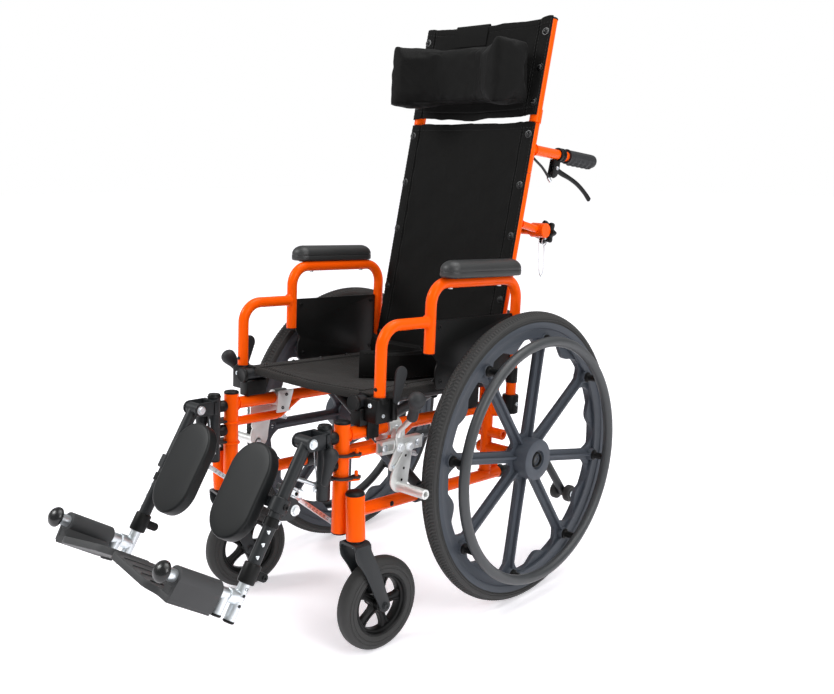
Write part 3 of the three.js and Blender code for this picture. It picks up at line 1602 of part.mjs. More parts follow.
function strutRod() {
  const line = strutLine();
  const eyeRadius = 8;
  const eyeHalf = 3.5;
  const rodEnd = line.length - strutHeadGap - strutBody + strutGrip;
  const rodSolid = rod(line.at(0), line.at(rodEnd), strutRodRadius, smallSides);
  const eye = rod(
    [strutX - eyeHalf, strutFootY, strutFootZ], [strutX + eyeHalf, strutFootY, strutFootZ], eyeRadius,
    boreSides
  );
  const bore = rod(
    [strutX - eyeRadius, strutFootY, strutFootZ], [strutX + eyeRadius, strutFootY, strutFootZ],
    strutStudRadius + turningGap, boreSides
  );
  return cut(join(rodSolid, eye), bore);
}

function strutCylinder() {
  const line = strutLine();
  const bodyRadius = 9.5;
  const boreRadius = strutRodRadius + turningGap;
  const endWall = 5;
  const top = line.length - strutHeadGap;
  const foot = top - strutBody;
  const body = rod(line.at(foot), line.at(top), bodyRadius);
  const head = rod(line.at(top - overrun), line.at(line.length), strutStudRadius + overrun, smallSides);
  const bore = rod(line.at(foot - overrun), line.at(top - endWall), boreRadius, boreSides);
  return cut(join(body, head), bore);
}

// Seat sling: stretched over both seat rails, with sides and front edge turned down
const slingThickness = 3;
const slingSag = 12;
const slingFrontSag = 4;
const slingSagRun = 90;

function slingTopAt(x, y) {
  const share = Math.min(1, Math.abs(x) / (frameHalf - seatRailRadius));
  const along = Math.min(1, Math.max(0, (y - seatSlingFront) / slingSagRun));
  const sag = slingFrontSag + (slingSag - slingFrontSag) * along;
  return seatRailZ + seatRailRadius + runningGap + slingThickness - sag * (1 - share * share);
}

function seatSling() {
  const columns = 12;
  const rows = 7;
  const frontRows = 3;
  const frontReach = 0.5;
  const outerHalf = frameHalf + seatRailRadius + runningGap + slingThickness;
  const sideDrop = 14;
  const skirtFront = armSocketRear + 2 * turningGap;
  const frontDrop = 13;
  const frontRound = 10;
  return join(
    thickSheet(columns, rows, (across, along, side) => {
      const [x] = slingStation(across, columns, frameHalf - seatRailRadius, outerHalf);
      const y = seatSlingFront + (seatSlingRear - seatSlingFront) * along;
      return [x, y, slingTopAt(x, y) - (side === 0 ? 0 : slingThickness)];
    }),
    ...[-1, 1].map((sign) => {
      const edges = [sign * (outerHalf - slingThickness), sign * outerHalf].sort((a, b) => a - b);
      const top = slingTopAt(outerHalf, skirtFront);
      return box([edges[0], skirtFront, top - sideDrop], [edges[1], seatSlingRear, top - overrun]);
    }),
    thickSheet(columns, frontRows, (across, down, side) => {
      const span = frameHalf - seatRailRadius - 2 * slingThickness;
      const x = span * (2 * across - 1);
      const angle = down * Math.PI * half;
      const radius = frontRound - (side === 0 ? 0 : slingThickness);
      const y = seatSlingFront + overrun - radius * Math.sin(angle) * frontReach;
      const drop = frontRound * (1 - Math.cos(angle)) + (frontDrop - frontRound) * down;
      return [x, y, slingTopAt(x, y) - drop - (side === 0 ? 0 : slingThickness * (1 - down))];
    }),
  );
}

// Lap belt: a wide band standing on its edge on the seat
function lapBelt() {
  const beltHeight = 58;
  const beltThickness = 5;
  const route = [
    [-128, -62], [-80, -84], [-30, -92], [20, -88], [52, -98], [66, -124],
    [68, -156], [56, -186], [36, -212], [12, -238],
  ];
  const curve = new THREE.CatmullRomCurve3(route.map(([x, y]) => new THREE.Vector3(x, y, 0)));
  const rows = 2;
  return thickSheet(24, rows, (along, up, side) => {
    const point = curve.getPointAt(along);
    const tangent = curve.getTangentAt(along);
    const offset = beltThickness * (side - half);
    const x = point.x + tangent.y * offset;
    const y = point.y - tangent.x * offset;
    const lean = beltThickness * Math.sin(Math.PI * up) * Math.cos(3 * Math.PI * along);
    return [x + tangent.y * lean, y - tangent.x * lean, slingTopAt(x, y) + runningGap + beltHeight * up];
  });
}

// Assembly
placePair(chassis, 'side_frame', sideFrame(), 'orange');
place(chassis, 'left_brace', brace(braceBarYs.left, braceBarYs.right - 1.4 * braceBarRadius), 'blackPaint');
place(chassis, 'right_brace', brace(braceBarYs.right, null), 'blackPaint', true);
place(chassis, 'seat_sling', seatSling(), 'fabric');
place(chassis, 'lap_belt', lapBelt(), 'fabric');
placePair(chassis, 'arm_socket', armSocket(), 'blackPlastic');
placePair(chassis, 'arm_frame', armFrame(), 'orange');
placePair(chassis, 'arm_pad', armPad(), 'padding');
placePair(chassis, 'side_panel', sidePanel(), 'blackPlastic');
placePair(chassis, 'tyre', tyre(), 'tyre');
place(chassis, 'left_rim', rim(wheelPhase), 'greyNylon');
place(chassis, 'right_rim', rim(0), 'greyNylon', true);
place(chassis, 'left_handrim', handrim(wheelPhase), 'greyNylon');
place(chassis, 'right_handrim', handrim(0), 'greyNylon', true);
placePair(chassis, 'lock_bracket', lockBracket(), 'aluminium');
placePair(chassis, 'lock_lever', lockLever(), 'aluminium');
placePair(chassis, 'lock_shoe', lockShoe(), 'aluminium');
placePair(chassis, 'hanger', hanger(), 'blackPaint');
placePair(chassis, 'tip_rollers', tipRollers(), 'tyre');
placePair(chassis, 'strut_rod', strutRod(), 'zinc');
placePair(chassis, 'strut_cylinder', strutCylinder(), 'blackPaint');
placePair(legs, 'leg_tube', legTube(), 'blackPaint');
placePair(legs, 'leg_strut', legStrut(), 'zinc');
placePair(legs, 'leg_slide', legSlide(), 'zinc');
placePair(legs, 'footplate', footplate(), 'blackPlastic');
placePair(legs, 'calf_pad', calfPad(), 'padding');
placePair(back, 'back_tube', backTube(), 'orange');
placePair(back, 'grip', grip(), 'blackPlastic');
placePair(back, 'recline_lever', reclineLever(), 'blackPlastic');
place(
  back, 'back_sling', sling(backSlingBottom, backSlingTop, 8, -backTubeRadius - runningGap, 14, 3), 'fabric'
);
place(back, 'spreader_bar', spreaderBar(), 'orange');
placePair(back, 'headrest_tube', headrestTube(), 'orange');
place(
  back, 'headrest_sling',
  sling(headrestSlingBottom, headrestSlingTop, 2, -headrestCollarRadius - runningGap, 6, 0), 'fabric'
);
place(back, 'head_cushion', headCushion(), 'fabric');

for (const side of ['left', 'right']) {
  const stem = new THREE.Group();
  const sign = side === 'left' ? 1 : -1;
  stem.position.set(sign * casterStemX, casterStemY, 0);
  stem.rotation.z = casterYaws[side];
  chair.add(stem);
  place(stem, `${side}_caster_fork`, casterFork(), 'blackPaint');
  const hub = new THREE.Group();
  hub.position.set(0, casterTrail, casterRadius);
  stem.add(hub);
  place(hub, `${side}_caster_wheel`, casterWheel(), 'tyre');
}

// The origin lies on the ground under the middle of the chair's bounding box
chair.updateMatrixWorld(true);
const bounds = new THREE.Box3().setFromObject(chair, true);
const middle = bounds.getCenter(new THREE.Vector3());
chair.position.set(-middle.x, -middle.y, -bounds.min.z);
chair.updateMatrixWorld(true);

export default chair;
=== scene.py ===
"""Reclining wheelchair with elevating legrests: the visible pieces, their finishes and the studio."""

import math

import bpy
import numpy as np
from mathutils import Matrix, Vector
from mathutils.bvhtree import BVHTree
from numpy.linalg import norm


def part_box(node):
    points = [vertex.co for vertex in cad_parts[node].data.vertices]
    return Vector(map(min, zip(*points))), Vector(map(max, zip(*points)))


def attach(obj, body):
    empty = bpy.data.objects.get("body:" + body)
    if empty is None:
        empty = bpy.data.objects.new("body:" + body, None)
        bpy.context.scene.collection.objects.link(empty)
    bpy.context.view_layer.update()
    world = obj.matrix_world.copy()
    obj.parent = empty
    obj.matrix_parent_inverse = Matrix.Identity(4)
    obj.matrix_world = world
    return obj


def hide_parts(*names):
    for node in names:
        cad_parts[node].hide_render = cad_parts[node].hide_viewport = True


bl_info = {"name": "Reclining Wheelchair", "version": (1, 0, 0), "blender": (4, 5, 0),
    "location": "View3D > Sidebar > Wheelchair",
    "description": "Dresses the packed wheelchair frame with its tubes, fabric, wheels and studio",
    "category": "Object"}

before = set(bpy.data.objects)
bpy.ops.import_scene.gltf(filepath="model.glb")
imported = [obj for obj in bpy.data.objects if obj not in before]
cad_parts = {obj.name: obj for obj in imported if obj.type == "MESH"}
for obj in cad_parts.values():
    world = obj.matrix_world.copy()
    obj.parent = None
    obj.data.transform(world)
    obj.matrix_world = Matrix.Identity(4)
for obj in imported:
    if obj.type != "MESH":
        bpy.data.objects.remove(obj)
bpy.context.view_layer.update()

# Millimetres to metres, and the axle's place in the frame
MM = 0.001
TYRE_LOW, TYRE_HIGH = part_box("left_tyre")
AXLE = np.array([0.0, (TYRE_LOW.y + TYRE_HIGH.y) / 2, (TYRE_LOW.z + TYRE_HIGH.z) / 2])

# Angles of the chair's own frames
DUMP = math.radians(3.4)
BACK_LEAN = math.radians(11)
LEG_TURN = math.radians(-30)
PLATE_TILT = math.radians(8)
HANDLE_SLOPE = math.radians(7.6)
CUSHION_LEAN = math.radians(14.6)
CASTER_YAW = {1: -0.07, -1: -0.215}

# Chassis places in millimetres: x outwards from the middle, y back and z up from the axle
FRAME_X = 168.0
ARM_X = 205.5
LEG_X = 172.0
WHEEL_X = 268.0
HANGER_Y = -468
POST_Y = -425.5
REAR_POST_Y = -2
RAIL_HIGH = 90.5
RAIL_LOW = -62
SEAT_RAIL_Z = 147.5
HINGE = np.array([0.0, 0.5, 142.0])
LEG_PIVOT = np.array([0.0, -513.4, 91.4])
HANGER_PIN = (188, -405.5)
HANGER_PIN_TOPS = (54, 11)
TIP_AXLE = (304, -160)
ARM_REAR_Y, ARM_MIDDLE_Y, ARM_FRONT_Y = 26, -239, -369
ARM_TOP_Z, ARM_STEP_Z = 365.5, 291.5
STRUT_FOOT = np.array([142, 38, -36.0])
STRUT_HEAD = np.array([142, 53.66, 284.47])

# Places in the back's, the leg's and the caster's own frames
SPREADER_Y, SPREADER_Z = 82, 345
HANDLE_Z = 504
FOOT_ROD_Z = -286
CASTER_STEM = np.array([206.0, -424.0, 0.0])
CASTER_AXLE = (50.0, 90.6)

# Tube radii, and the rear wheels
POST_RADIUS = 15
RAIL_RADIUS = 12.5
TUBE_RADIUS = 11
THIN_RADIUS = 9.5
WHEEL_PHASE = {1: math.radians(-8), -1: 0.0}
SPOKES = 8
PUSH_RADIUS = 248

# Directions in the chair's own frames
OUT, IN = (1, 0, 0), (-1, 0, 0)
REAR, FRONT = (0, 1, 0), (0, -1, 0)
UP, DOWN = (0, 0, 1), (0, 0, -1)

# Bodies that both hands of a mirrored piece share
SHARED_BODIES = ("chassis", "back", "headrest")


def name(side, piece):
    return ("left_" if side > 0 else "right_") + piece


def turn_x(points, angle):
    """Turns points about the X axis."""
    points = np.asarray(points, float)
    c, s = math.cos(angle), math.sin(angle)
    y, z = points[..., 1], points[..., 2]
    return np.stack([points[..., 0], y * c - z * s, y * s + z * c], -1)


def on_chassis(points, side):
    """Chassis millimetres to row metres; side -1 is the mirrored right-hand side."""
    world = turn_x(points, -DUMP) * MM + AXLE
    world[..., 0] *= side
    return world


def on_back(points, side=1):
    """Back millimetres, upright about its hinge, to row metres."""
    return on_chassis(turn_x(points, -BACK_LEAN) + HINGE, side)


def on_leg(points, side):
    """Leg millimetres, hanging down from its pivot, to row metres."""
    return on_chassis(turn_x(points, LEG_TURN) + LEG_PIVOT, side)


def on_caster(points, side):
    """Caster millimetres, about its upright stem, to row metres."""
    p = np.asarray(points, float)
    c, s = math.cos(CASTER_YAW[side]), math.sin(CASTER_YAW[side])
    x = p[..., 0] * c - p[..., 1] * s + side * CASTER_STEM[0]
    y = p[..., 0] * s + p[..., 1] * c + CASTER_STEM[1]
    return np.stack([x * MM, y * MM + AXLE[1], p[..., 2] * MM], -1)


# Surfaces, all as rings of points: rings[row, column, xyz]

def angles(count):
    """Equal angles round one full turn."""
    return np.linspace(0, 2 * math.pi, count, endpoint=False)


def heading(turn):
    """Points of the unit circle in a plane, at the given angles."""
    return np.stack([np.cos(turn), np.sin(turn)], -1)


def circle(radius, sides):
    """Points of a circle in a plane."""
    return heading(angles(sides)) * radius


def unit(rows):
    """Each row as a direction of length one."""
    return rows / norm(rows, axis=1, keepdims=True)


def swept(path, radii, sides):
    """A round section carried along a path: centre + radius * (cos a * side + sin a * up)."""
    path = np.asarray(path, float)
    radii = np.broadcast_to(np.asarray(radii, float), (len(path),))
    along = unit(np.gradient(path, axis=0))
    mean = np.abs(along).mean(0)
    ref = np.eye(3)[int(np.argmin(mean))]
    side = unit(np.cross(along, ref))
    up = np.cross(along, side)
    section = circle(1.0, sides)
    offset = section[None, :, 0, None] * side[:, None] + section[None, :, 1, None] * up[:, None]
    return path[:, None] + offset * radii[:, None, None]


def bent(corners, bend, steps):
    """Straight runs joined by arcs of one bend radius."""
    corners = np.asarray(corners, float)
    points = [corners[0]]
    for before, corner, after in zip(corners, corners[1:], corners[2:]):
        a = (before - corner) / norm(before - corner)
        b = (after - corner) / norm(after - corner)
        opening = math.acos(float(np.clip(a @ b, -1, 1)))
        reach = bend / math.tan(opening / 2)
        middle = (a + b) / norm(a + b)
        centre = corner + middle * bend / math.sin(opening / 2)
        start, end = corner + a * reach - centre, corner + b * reach - centre
        sweep = math.pi - opening
        t = np.linspace(0, 1, steps)[:, None]
        arc = (np.sin((1 - t) * sweep) * start + np.sin(t * sweep) * end) / math.sin(sweep)
        points.extend(centre + arc)
    points.append(corners[-1])
    return np.array(points)


def eased(path):
    """Adds a station 1.2 mm inside each end of a path, for a softened rim."""
    path = np.asarray(path, float)
    first = path[0] + (path[1] - path[0]) / norm(path[1] - path[0]) * 1.2
    last = path[-1] + (path[-2] - path[-1]) / norm(path[-2] - path[-1]) * 1.2
    return np.concatenate([path[:1], first[None], path[1:-1], last[None], path[-1:]])


def tube(corners, radius, bend=40, sides=20, soft=0.9, steps=7):
    """A bent bar with softened ends."""
    path = eased(bent(corners, bend, steps) if len(corners) > 2 else corners)
    radii = np.full(len(path), float(radius))
    radii[[0, -1]] -= soft
    return swept(path, radii, sides)


def stack(start, direction, profile, sides=24):
    """Circles strung on a line: start + direction * s, radius r, for each (s, r) of the profile."""
    profile = np.asarray(profile, float)
    d = np.asarray(direction, float)
    d /= norm(d)
    ref = np.eye(3)[int(np.argmin(np.abs(d)))]
    u = np.cross(d, ref)
    u /= norm(u)
    v = np.cross(d, u)
    ring = circle(1.0, sides)
    plane = ring[:, :1] * u + ring[:, 1:] * v
    return np.asarray(start, float) + profile[:, 0, None, None] * d + profile[:, 1, None, None] * plane


def inset(outline, distance):
    """Moves each point of a counter-clockwise outline inwards by a distance."""
    outline = np.asarray(outline, float)
    along = unit(np.roll(outline, -1, 0) - outline)
    normal = np.stack([-along[:, 1], along[:, 0]], -1)
    joint = normal + np.roll(normal, 1, 0)
    length = norm(joint, axis=1, keepdims=True)
    joint = joint / np.maximum(length, 1e-6)
    spread = np.maximum((joint * normal).sum(1, keepdims=True), 0.5)
    return outline + joint * distance / spread


def counter_clockwise(outline):
    outline = np.asarray(outline, float)
    x, y = outline[:, 0], outline[:, 1]
    area = (x * np.roll(y, -1) - np.roll(x, -1) * y).sum()
    return outline if area > 0 else outline[::-1]


def spread_out(plane, outline, level):
    """A flat outline put into space in one plane at one level."""
    third = np.full(len(outline), float(level))
    u, v = outline[:, 0], outline[:, 1]
    return np.stack({"yz": (third, u, v), "xy": (u, v, third), "xz": (u, third, v)}[plane], -1)


def plate(plane, outline, low, high, soft):
    """An outline drawn out between two levels, its edges softened."""
    outline = counter_clockwise(outline)
    soft = min(soft, (high - low) * 0.45)
    levels = [(low, soft), (low + soft * 0.3, soft * 0.3), (low + soft, 0)]
    levels += [(high - soft, 0), (high - soft * 0.3, soft * 0.3), (high, soft)]
    return np.array([spread_out(plane, inset(outline, d), level) for level, d in levels])


def crowned(plane, outline, levels):
    """An outline at several levels, each drawn in by its own distance."""
    outline = counter_clockwise(outline)
    return np.array([spread_out(plane, inset(outline, d), level) for level, d in levels])


def round_box(low, high, corner, plane, soft):
    """A box with rounded upright corners and softened rims."""
    low, high = np.asarray(low, float), np.asarray(high, float)
    i, j, k = {"xy": (0, 1, 2), "yz": (1, 2, 0), "xz": (0, 2, 1)}[plane]
    return plate(plane, rounded([(low[i], low[j]), (high[i], low[j]), (high[i], high[j]),
        (low[i], high[j])], corner, 3), low[k], high[k], soft)


def rounded(outline, radius, steps):
    """Corners of an outline replaced by arcs, no larger than its sides allow."""
    outline = counter_clockwise(outline)
    radii = np.broadcast_to(np.asarray(radius, float), (len(outline),))
    points = []
    count = len(outline)
    for i in range(count):
        a, c, b = outline[i - 1], outline[i], outline[(i + 1) % count]
        va, vb = a - c, b - c
        la, lb = norm(va), norm(vb)
        reach = min(radii[i], la * 0.48, lb * 0.48)
        if reach < 0.05:
            points.append(c[None])
            continue
        t = np.linspace(0, 1, steps + 1)[:, None]
        p, q = c + va / la * reach, c + vb / lb * reach
        points.append((1 - t) ** 2 * p + 2 * t * (1 - t) * c + t ** 2 * q)
    return np.concatenate(points)


def link(a, radius_a, b, radius_b, steps=8):
    """The outline round two circles."""
    a, b = np.asarray(a, float), np.asarray(b, float)
    gap = b - a
    length = norm(gap)
    angle = math.atan2(gap[1], gap[0])
    lean = math.acos((radius_a - radius_b) / length)
    first = np.linspace(angle + lean, angle + 2 * math.pi - lean, steps + 1)
    second = np.linspace(angle - lean, angle + lean, steps + 1)
    return np.concatenate([a + radius_a * heading(first), b + radius_b * heading(second)])


class Shells:
    """Closed surfaces gathered for one piece, each with its place and finish."""

    def __init__(self, place, side=1):
        self.place, self.side = place, side
        self.points, self.faces, self.finish, self.cloth = [], [], [], []
        self.finishes = []
        self.count = 0

    def add(self, rings, finish, loop=False, place=None):
        """Joins the rings with quads, closes both ends (or runs round), and turns the faces outwards."""
        rings = np.asarray(rings, float)
        rows, columns = rings.shape[:2]
        points = (place or self.place)(rings.reshape(-1, 3), self.side)
        index = np.arange(rows * columns).reshape(rows, columns)
        if loop:
            index = np.concatenate([index, index[:1]])
        a, b = index[:-1], np.roll(index[:-1], -1, 1)
        c, d = np.roll(index[1:], -1, 1), index[1:]
        quads = np.stack([a, b, c, d], -1).reshape(-1, 4)
        tri = np.concatenate([quads[:, [0, 1, 2]], quads[:, [0, 2, 3]]])
        p = points - points.mean(0)
        volume = np.einsum("ij,ij->i", p[tri[:, 0]], np.cross(p[tri[:, 1]], p[tri[:, 2]])).sum()
        caps = []
        if not loop:
            caps = [index[0][::-1], index[-1]]
            for cap in caps:
                fan = np.stack([np.full(columns - 2, cap[0]), cap[1:-1], cap[2:]], -1)
                volume += np.einsum("ij,ij->i", p[fan[:, 0]], np.cross(p[fan[:, 1]], p[fan[:, 2]])).sum()
        faces = quads.tolist() + [cap.tolist() for cap in caps]
        cloth = self.unrolled(rings, quads, loop) + [rings.reshape(-1, 3)[cap][:, :2] for cap in caps]
        if volume < 0:
            faces = [face[::-1] for face in faces]
            cloth = [patch[::-1] for patch in cloth]
        self.cloth.extend(cloth)
        if finish not in self.finishes:
            self.finishes.append(finish)
        self.points.append(points)
        self.faces.extend([[i + self.count for i in face] for face in faces])
        self.finish.extend([self.finishes.index(finish)] * len(faces))
        self.count += len(points)

    def unrolled(self, rings, quads, loop):
        """Millimetres along and across the rings for every corner of every quad, as if the skin lay flat."""
        columns = rings.shape[1]
        round_step = norm(np.roll(rings, -1, 1) - rings, axis=2).mean(0)
        ahead = np.roll(rings, -1, 0) if loop else np.concatenate([rings[1:], rings[-1:]])
        along_step = norm(ahead - rings, axis=2).max(1)
        across = np.concatenate([[0], np.cumsum(round_step)])
        along = np.concatenate([[0], np.cumsum(along_step)])
        row, column = np.divmod(np.arange(len(quads)), columns)
        corners_u = np.stack([across[column], across[column + 1], across[column + 1], across[column]], -1)
        corners_v = np.stack([along[row], along[row], along[row + 1], along[row + 1]], -1)
        return list(np.stack([corners_u, corners_v], -1))


def placed(label, data):
    """An object of the data, put in the scene."""
    item = bpy.data.objects.new(label, data)
    bpy.context.scene.collection.objects.link(item)
    return item


def build(label, shells, body, replaced=(), angle=35):
    """Makes the piece, gives it its finishes, and lets it ride on its body."""
    mesh = bpy.data.meshes.new(label)
    mesh.from_pydata(np.concatenate(shells.points).tolist(), [], shells.faces)
    mesh.polygons.foreach_set("material_index", shells.finish)
    skin = mesh.uv_layers.new(name="cloth")
    skin.data.foreach_set("uv", np.concatenate(shells.cloth).ravel())
    for finish in shells.finishes:
        mesh.materials.append(material(finish))
    settle(mesh, angle)
    piece = placed(label, mesh)
    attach(piece, body)
    if replaced:
        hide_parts(*replaced)
    return piece


def build_pair(side, piece, shells, body, node_name, angle=35):
    """One hand of a mirrored piece: every name gets left_ or right_, but for a body that both hands share."""
    if body not in SHARED_BODIES:
        body = name(side, body)
    return build(name(side, piece), shells, body, [name(side, node_name)], angle)


def settle(mesh, angle):
    """Smooth shading, with an edge wherever the surface turns by more than the angle."""
    mesh.polygons.foreach_set("use_smooth", [True] * len(mesh.polygons))
    mesh.set_sharp_from_angle(angle=math.radians(angle))
    mesh.update()


def level(points, side):
    """Millimetres from the floor under the axle, unturned, to row metres."""
    p = np.asarray(points, float) * MM
    return np.stack([p[..., 0] * side, p[..., 1] + AXLE[1], p[..., 2]], -1)


def plug(start, direction, radius, proud, sides=28):
    """A pressed-in plastic plug: a short rim and a low dome."""
    return stack(start, direction, [(-0.5, radius), (proud * 0.45, radius), (proud * 0.8, radius * 0.93),
        (proud, radius * 0.78), (proud, 0.3)], sides)


def bolt(shells, finish, start, direction, size, rise=5.0, washer=True):
    """A six-sided head, mostly on a washer; size is about half the width across flats."""
    shells.add(stack(start, direction, [(1.2, size * 1.1), (rise - 0.8, size * 1.1), (rise, size * 0.98),
        (rise, 0.3)], 6), finish)
    if washer:
        shells.add(stack(start, direction, [(0, size * 1.45), (1.0, size * 1.45), (1.4, size * 1.3),
            (1.4, 0.3)], 24), finish)


def socket_screw(start, direction, radius, rise):
    """A round head with a sunk hexagonal key hole."""
    return stack(start, direction, [(0, radius), (rise - 0.9, radius), (rise, radius * 0.86),
        (rise, radius * 0.5), (rise - 1.8, radius * 0.46), (rise - 1.8, 0.2)], 18)


def snap(start, direction, radius=8.4):
    """A domed press stud: a rolled collar with a button inside it."""
    r = radius
    return stack(start, direction, [(-0.8, r), (0.5, r), (1.0, r * 0.93), (1.1, r * 0.78), (0.8, r * 0.72),
        (2.2, r * 0.66), (3.5, r * 0.5), (4.4, r * 0.28), (4.7, r * 0.1), (4.7, 0.05)], 22)


def rumple(u, v, height, size, seed):
    """Soft creases: a sum of eight sharpened sine waves of random direction, length and phase."""
    chance = np.random.default_rng(seed)
    total = np.zeros(np.broadcast(u, v).shape)
    for _ in range(8):
        angle, phase = chance.uniform(0, math.pi), chance.uniform(0, 2 * math.pi)
        length = size * chance.uniform(0.6, 1.8)
        wave = np.sin(2 * math.pi * (u * math.cos(angle) + v * math.sin(angle)) / length + phase)
        total = total + wave * np.abs(wave)
    return total * height / 3


def smooth(value, low, high):
    """0 below low, 1 above high, an S-curve between."""
    t = np.clip((value - low) / (high - low), 0, 1)
    return t * t * (3 - 2 * t)


def stitches(shells, path):
    """Thread dashes laid along a path: little pointed six-sided beads, one for each pitch."""
    pitch = look().stitch_pitch / MM
    path = np.asarray(path, float)
    steps = norm(np.diff(path, axis=0), axis=1)
    run = np.concatenate([[0], np.cumsum(steps)])
    count = max(1, int(run[-1] / pitch))
    for i in range(count):
        span = (np.array([0.12, 0.3, 0.7, 0.88]) + i) * run[-1] / count
        line = np.stack([np.interp(span, run, path[:, k]) for k in range(3)], -1)
        shells.add(swept(line, np.array([0.25, 1, 1, 0.25]) * 0.75, 5), THREAD)


# Finishes

ORANGE = "gloss orange powder coat on steel tube"
BLACK = "satin black powder coat on steel"
NYLON = "charcoal glass-filled nylon, moulded"
PLASTIC = "black polypropylene, moulded"
RUBBER = "black thermoplastic rubber grip, moulded"
TYRE = "solid polyurethane tyre, moulded"
CLOTH = "black coated nylon oxford, woven"
SEAT_CLOTH = "black polyester duck, woven"
WEBBING = "black polypropylene webbing, woven"
SKIN = "self-skinned polyurethane foam, moulded"
# Paler copy of the foam skin for the arm pads: its paler colour is painted light
SKIN_PAINTED_LIGHTER = "self-skinned polyurethane foam, painted lighter"
BRIGHT_BOLT = "bright zinc plated bolt, satin"
CAP = "gloss black vinyl cap, dipped"
ZINC = "steel, bright zinc plated"
ALLOY = "aluminium, pressed and satin anodised"
THREAD = "black bonded thread"
COMPOSITE = "grey-black composite footplate, moulded"
HANDRIM = "dark grey coated handrim"
STUD = "black enamelled press stud"
CLOTH_ON_FORM = "black coated nylon oxford, sewn over foam"


def look():
    return bpy.context.scene.wheelchair_look


def linear(hex_colour):
    """sRGB hex to linear light: ((c + 0.055) / 1.055) ** 2.4, or c / 12.92 when dark; other colours stay."""
    if not isinstance(hex_colour, str):
        return hex_colour
    c = np.array([int(hex_colour[i:i + 2], 16) / 255 for i in (1, 3, 5)])
    light = np.where(c <= 0.04045, c / 12.92, ((c + 0.055) / 1.055) ** 2.4)
    return (*light.tolist(), 1.0)


def node(tree, kind, settings=None, links=None):
    """Adds one shader node with its settings and inputs; links gives the outputs that inputs take."""
    item = tree.nodes.new("ShaderNode" + kind)
    for key, value in (settings or {}).items():
        if isinstance(key, str) and hasattr(item, key):
            setattr(item, key, value)
        else:
            item.inputs[key].default_value = value
    for key, source in (links or {}).items():
        tree.links.new(source, item.inputs[key])
    return item


def shaded(tree, dark, light, mask, height, distance, rough, gloss):
    """Ends a finish: mask runs colour from dark to light and roughness from low to high; height bumps."""
    ramp = node(tree, "ValToRGB", links={"Fac": mask})
    ramp.color_ramp.elements[0].color = dark
    ramp.color_ramp.elements[1].color = light
    span = node(tree, "MapRange", {"To Min": rough[0], "To Max": rough[1]}, {"Value": mask})
    bump = node(tree, "Bump", {"Strength": 1.0, "Distance": distance * MM}, {"Height": height})
    shader = node(tree, "BsdfPrincipled", gloss, {"Base Color": ramp.outputs["Color"],
        "Roughness": span.outputs["Result"], "Normal": bump.outputs["Normal"]})
    tree.links.new(shader.outputs["BSDF"], node(tree, "OutputMaterial").inputs["Surface"])


def coated(tree, dark, light, rough, gloss, peel, depth, scuffs=0.0):
    """A stoved or moulded skin: peel of one size in millimetres, slow drift of shade, and sparse scuffs."""
    place = node(tree, "TexCoord").outputs["Object"]
    fine = node(tree, "TexNoise", {"Scale": 1 / (peel * MM), "Detail": 2.0, "Roughness": 0.5},
        {"Vector": place})
    slow = node(tree, "TexNoise", {"Scale": 14.0, "Detail": 4.0, "Roughness": 0.6}, {"Vector": place})
    scratch = node(tree, "TexNoise", {"Scale": 120.0, "Detail": 6.0, "Roughness": 0.75, "Distortion": 1.5},
        {"Vector": place})
    rare = node(tree, "MapRange", {"From Min": 0.66, "From Max": 0.78, "To Max": scuffs},
        {"Value": scratch.outputs["Fac"]})
    both = node(tree, "Math", {"operation": "ADD", "use_clamp": True}, {0: slow.outputs["Fac"],
        1: rare.outputs["Result"]})
    shaded(tree, dark, light, both.outputs["Value"], fine.outputs["Fac"], depth, rough, gloss)


def woven(tree, dark, light, rough, gloss, spacing, depth):
    """Plain weave on the unrolled skin: warp and weft sine ridges, the upper one chosen by a checker, with
    painted shade in the hollows between threads.
    """
    skin = node(tree, "UVMap", {"uv_map": "cloth"}).outputs["UV"]
    parts = node(tree, "SeparateXYZ", links={"Vector": skin})
    ridges = []
    for axis in ("X", "Y"):
        turn = node(tree, "Math", {"operation": "MULTIPLY", 1: math.pi / spacing}, {0: parts.outputs[axis]})
        wave = node(tree, "Math", {"operation": "SINE"}, {0: turn.outputs["Value"]})
        ridge = node(tree, "Math", {"operation": "ABSOLUTE"}, {0: wave.outputs["Value"]})
        ridges.append(ridge.outputs["Value"])
    over = node(tree, "TexChecker", {"Scale": 1 / spacing}, {"Vector": skin})
    height = node(tree, "Mix", {"data_type": "FLOAT"}, {"Factor": over.outputs["Fac"], "A": ridges[0],
        "B": ridges[1]})
    place = node(tree, "TexCoord").outputs["Object"]
    slow = node(tree, "TexNoise", {"Scale": 22.0, "Detail": 5.0, "Roughness": 0.65}, {"Vector": place})
    fleck = node(tree, "TexNoise", {"Scale": 700.0, "Detail": 1.0}, {"Vector": place})
    # Painted light and shade on the weave: thread crowns are coloured lighter and the hollows between threads
    # darker, varied by the slow noise; the flecks are random tone
    weave_crown_light = node(tree, "Math", {"operation": "MULTIPLY"}, {0: slow.outputs["Fac"],
        1: height.outputs["Result"]})
    mask = node(tree, "Math", {"operation": "MULTIPLY_ADD", 1: 1.3}, {0: weave_crown_light.outputs["Value"],
        2: fleck.outputs["Fac"]})
    crown_light_and_fleck = node(tree, "MapRange", {"From Min": 0.35, "From Max": 1.4},
        {"Value": mask.outputs["Value"]})
    shaded(tree, dark, light, crown_light_and_fleck.outputs["Result"], height.outputs["Result"], depth, rough, gloss)


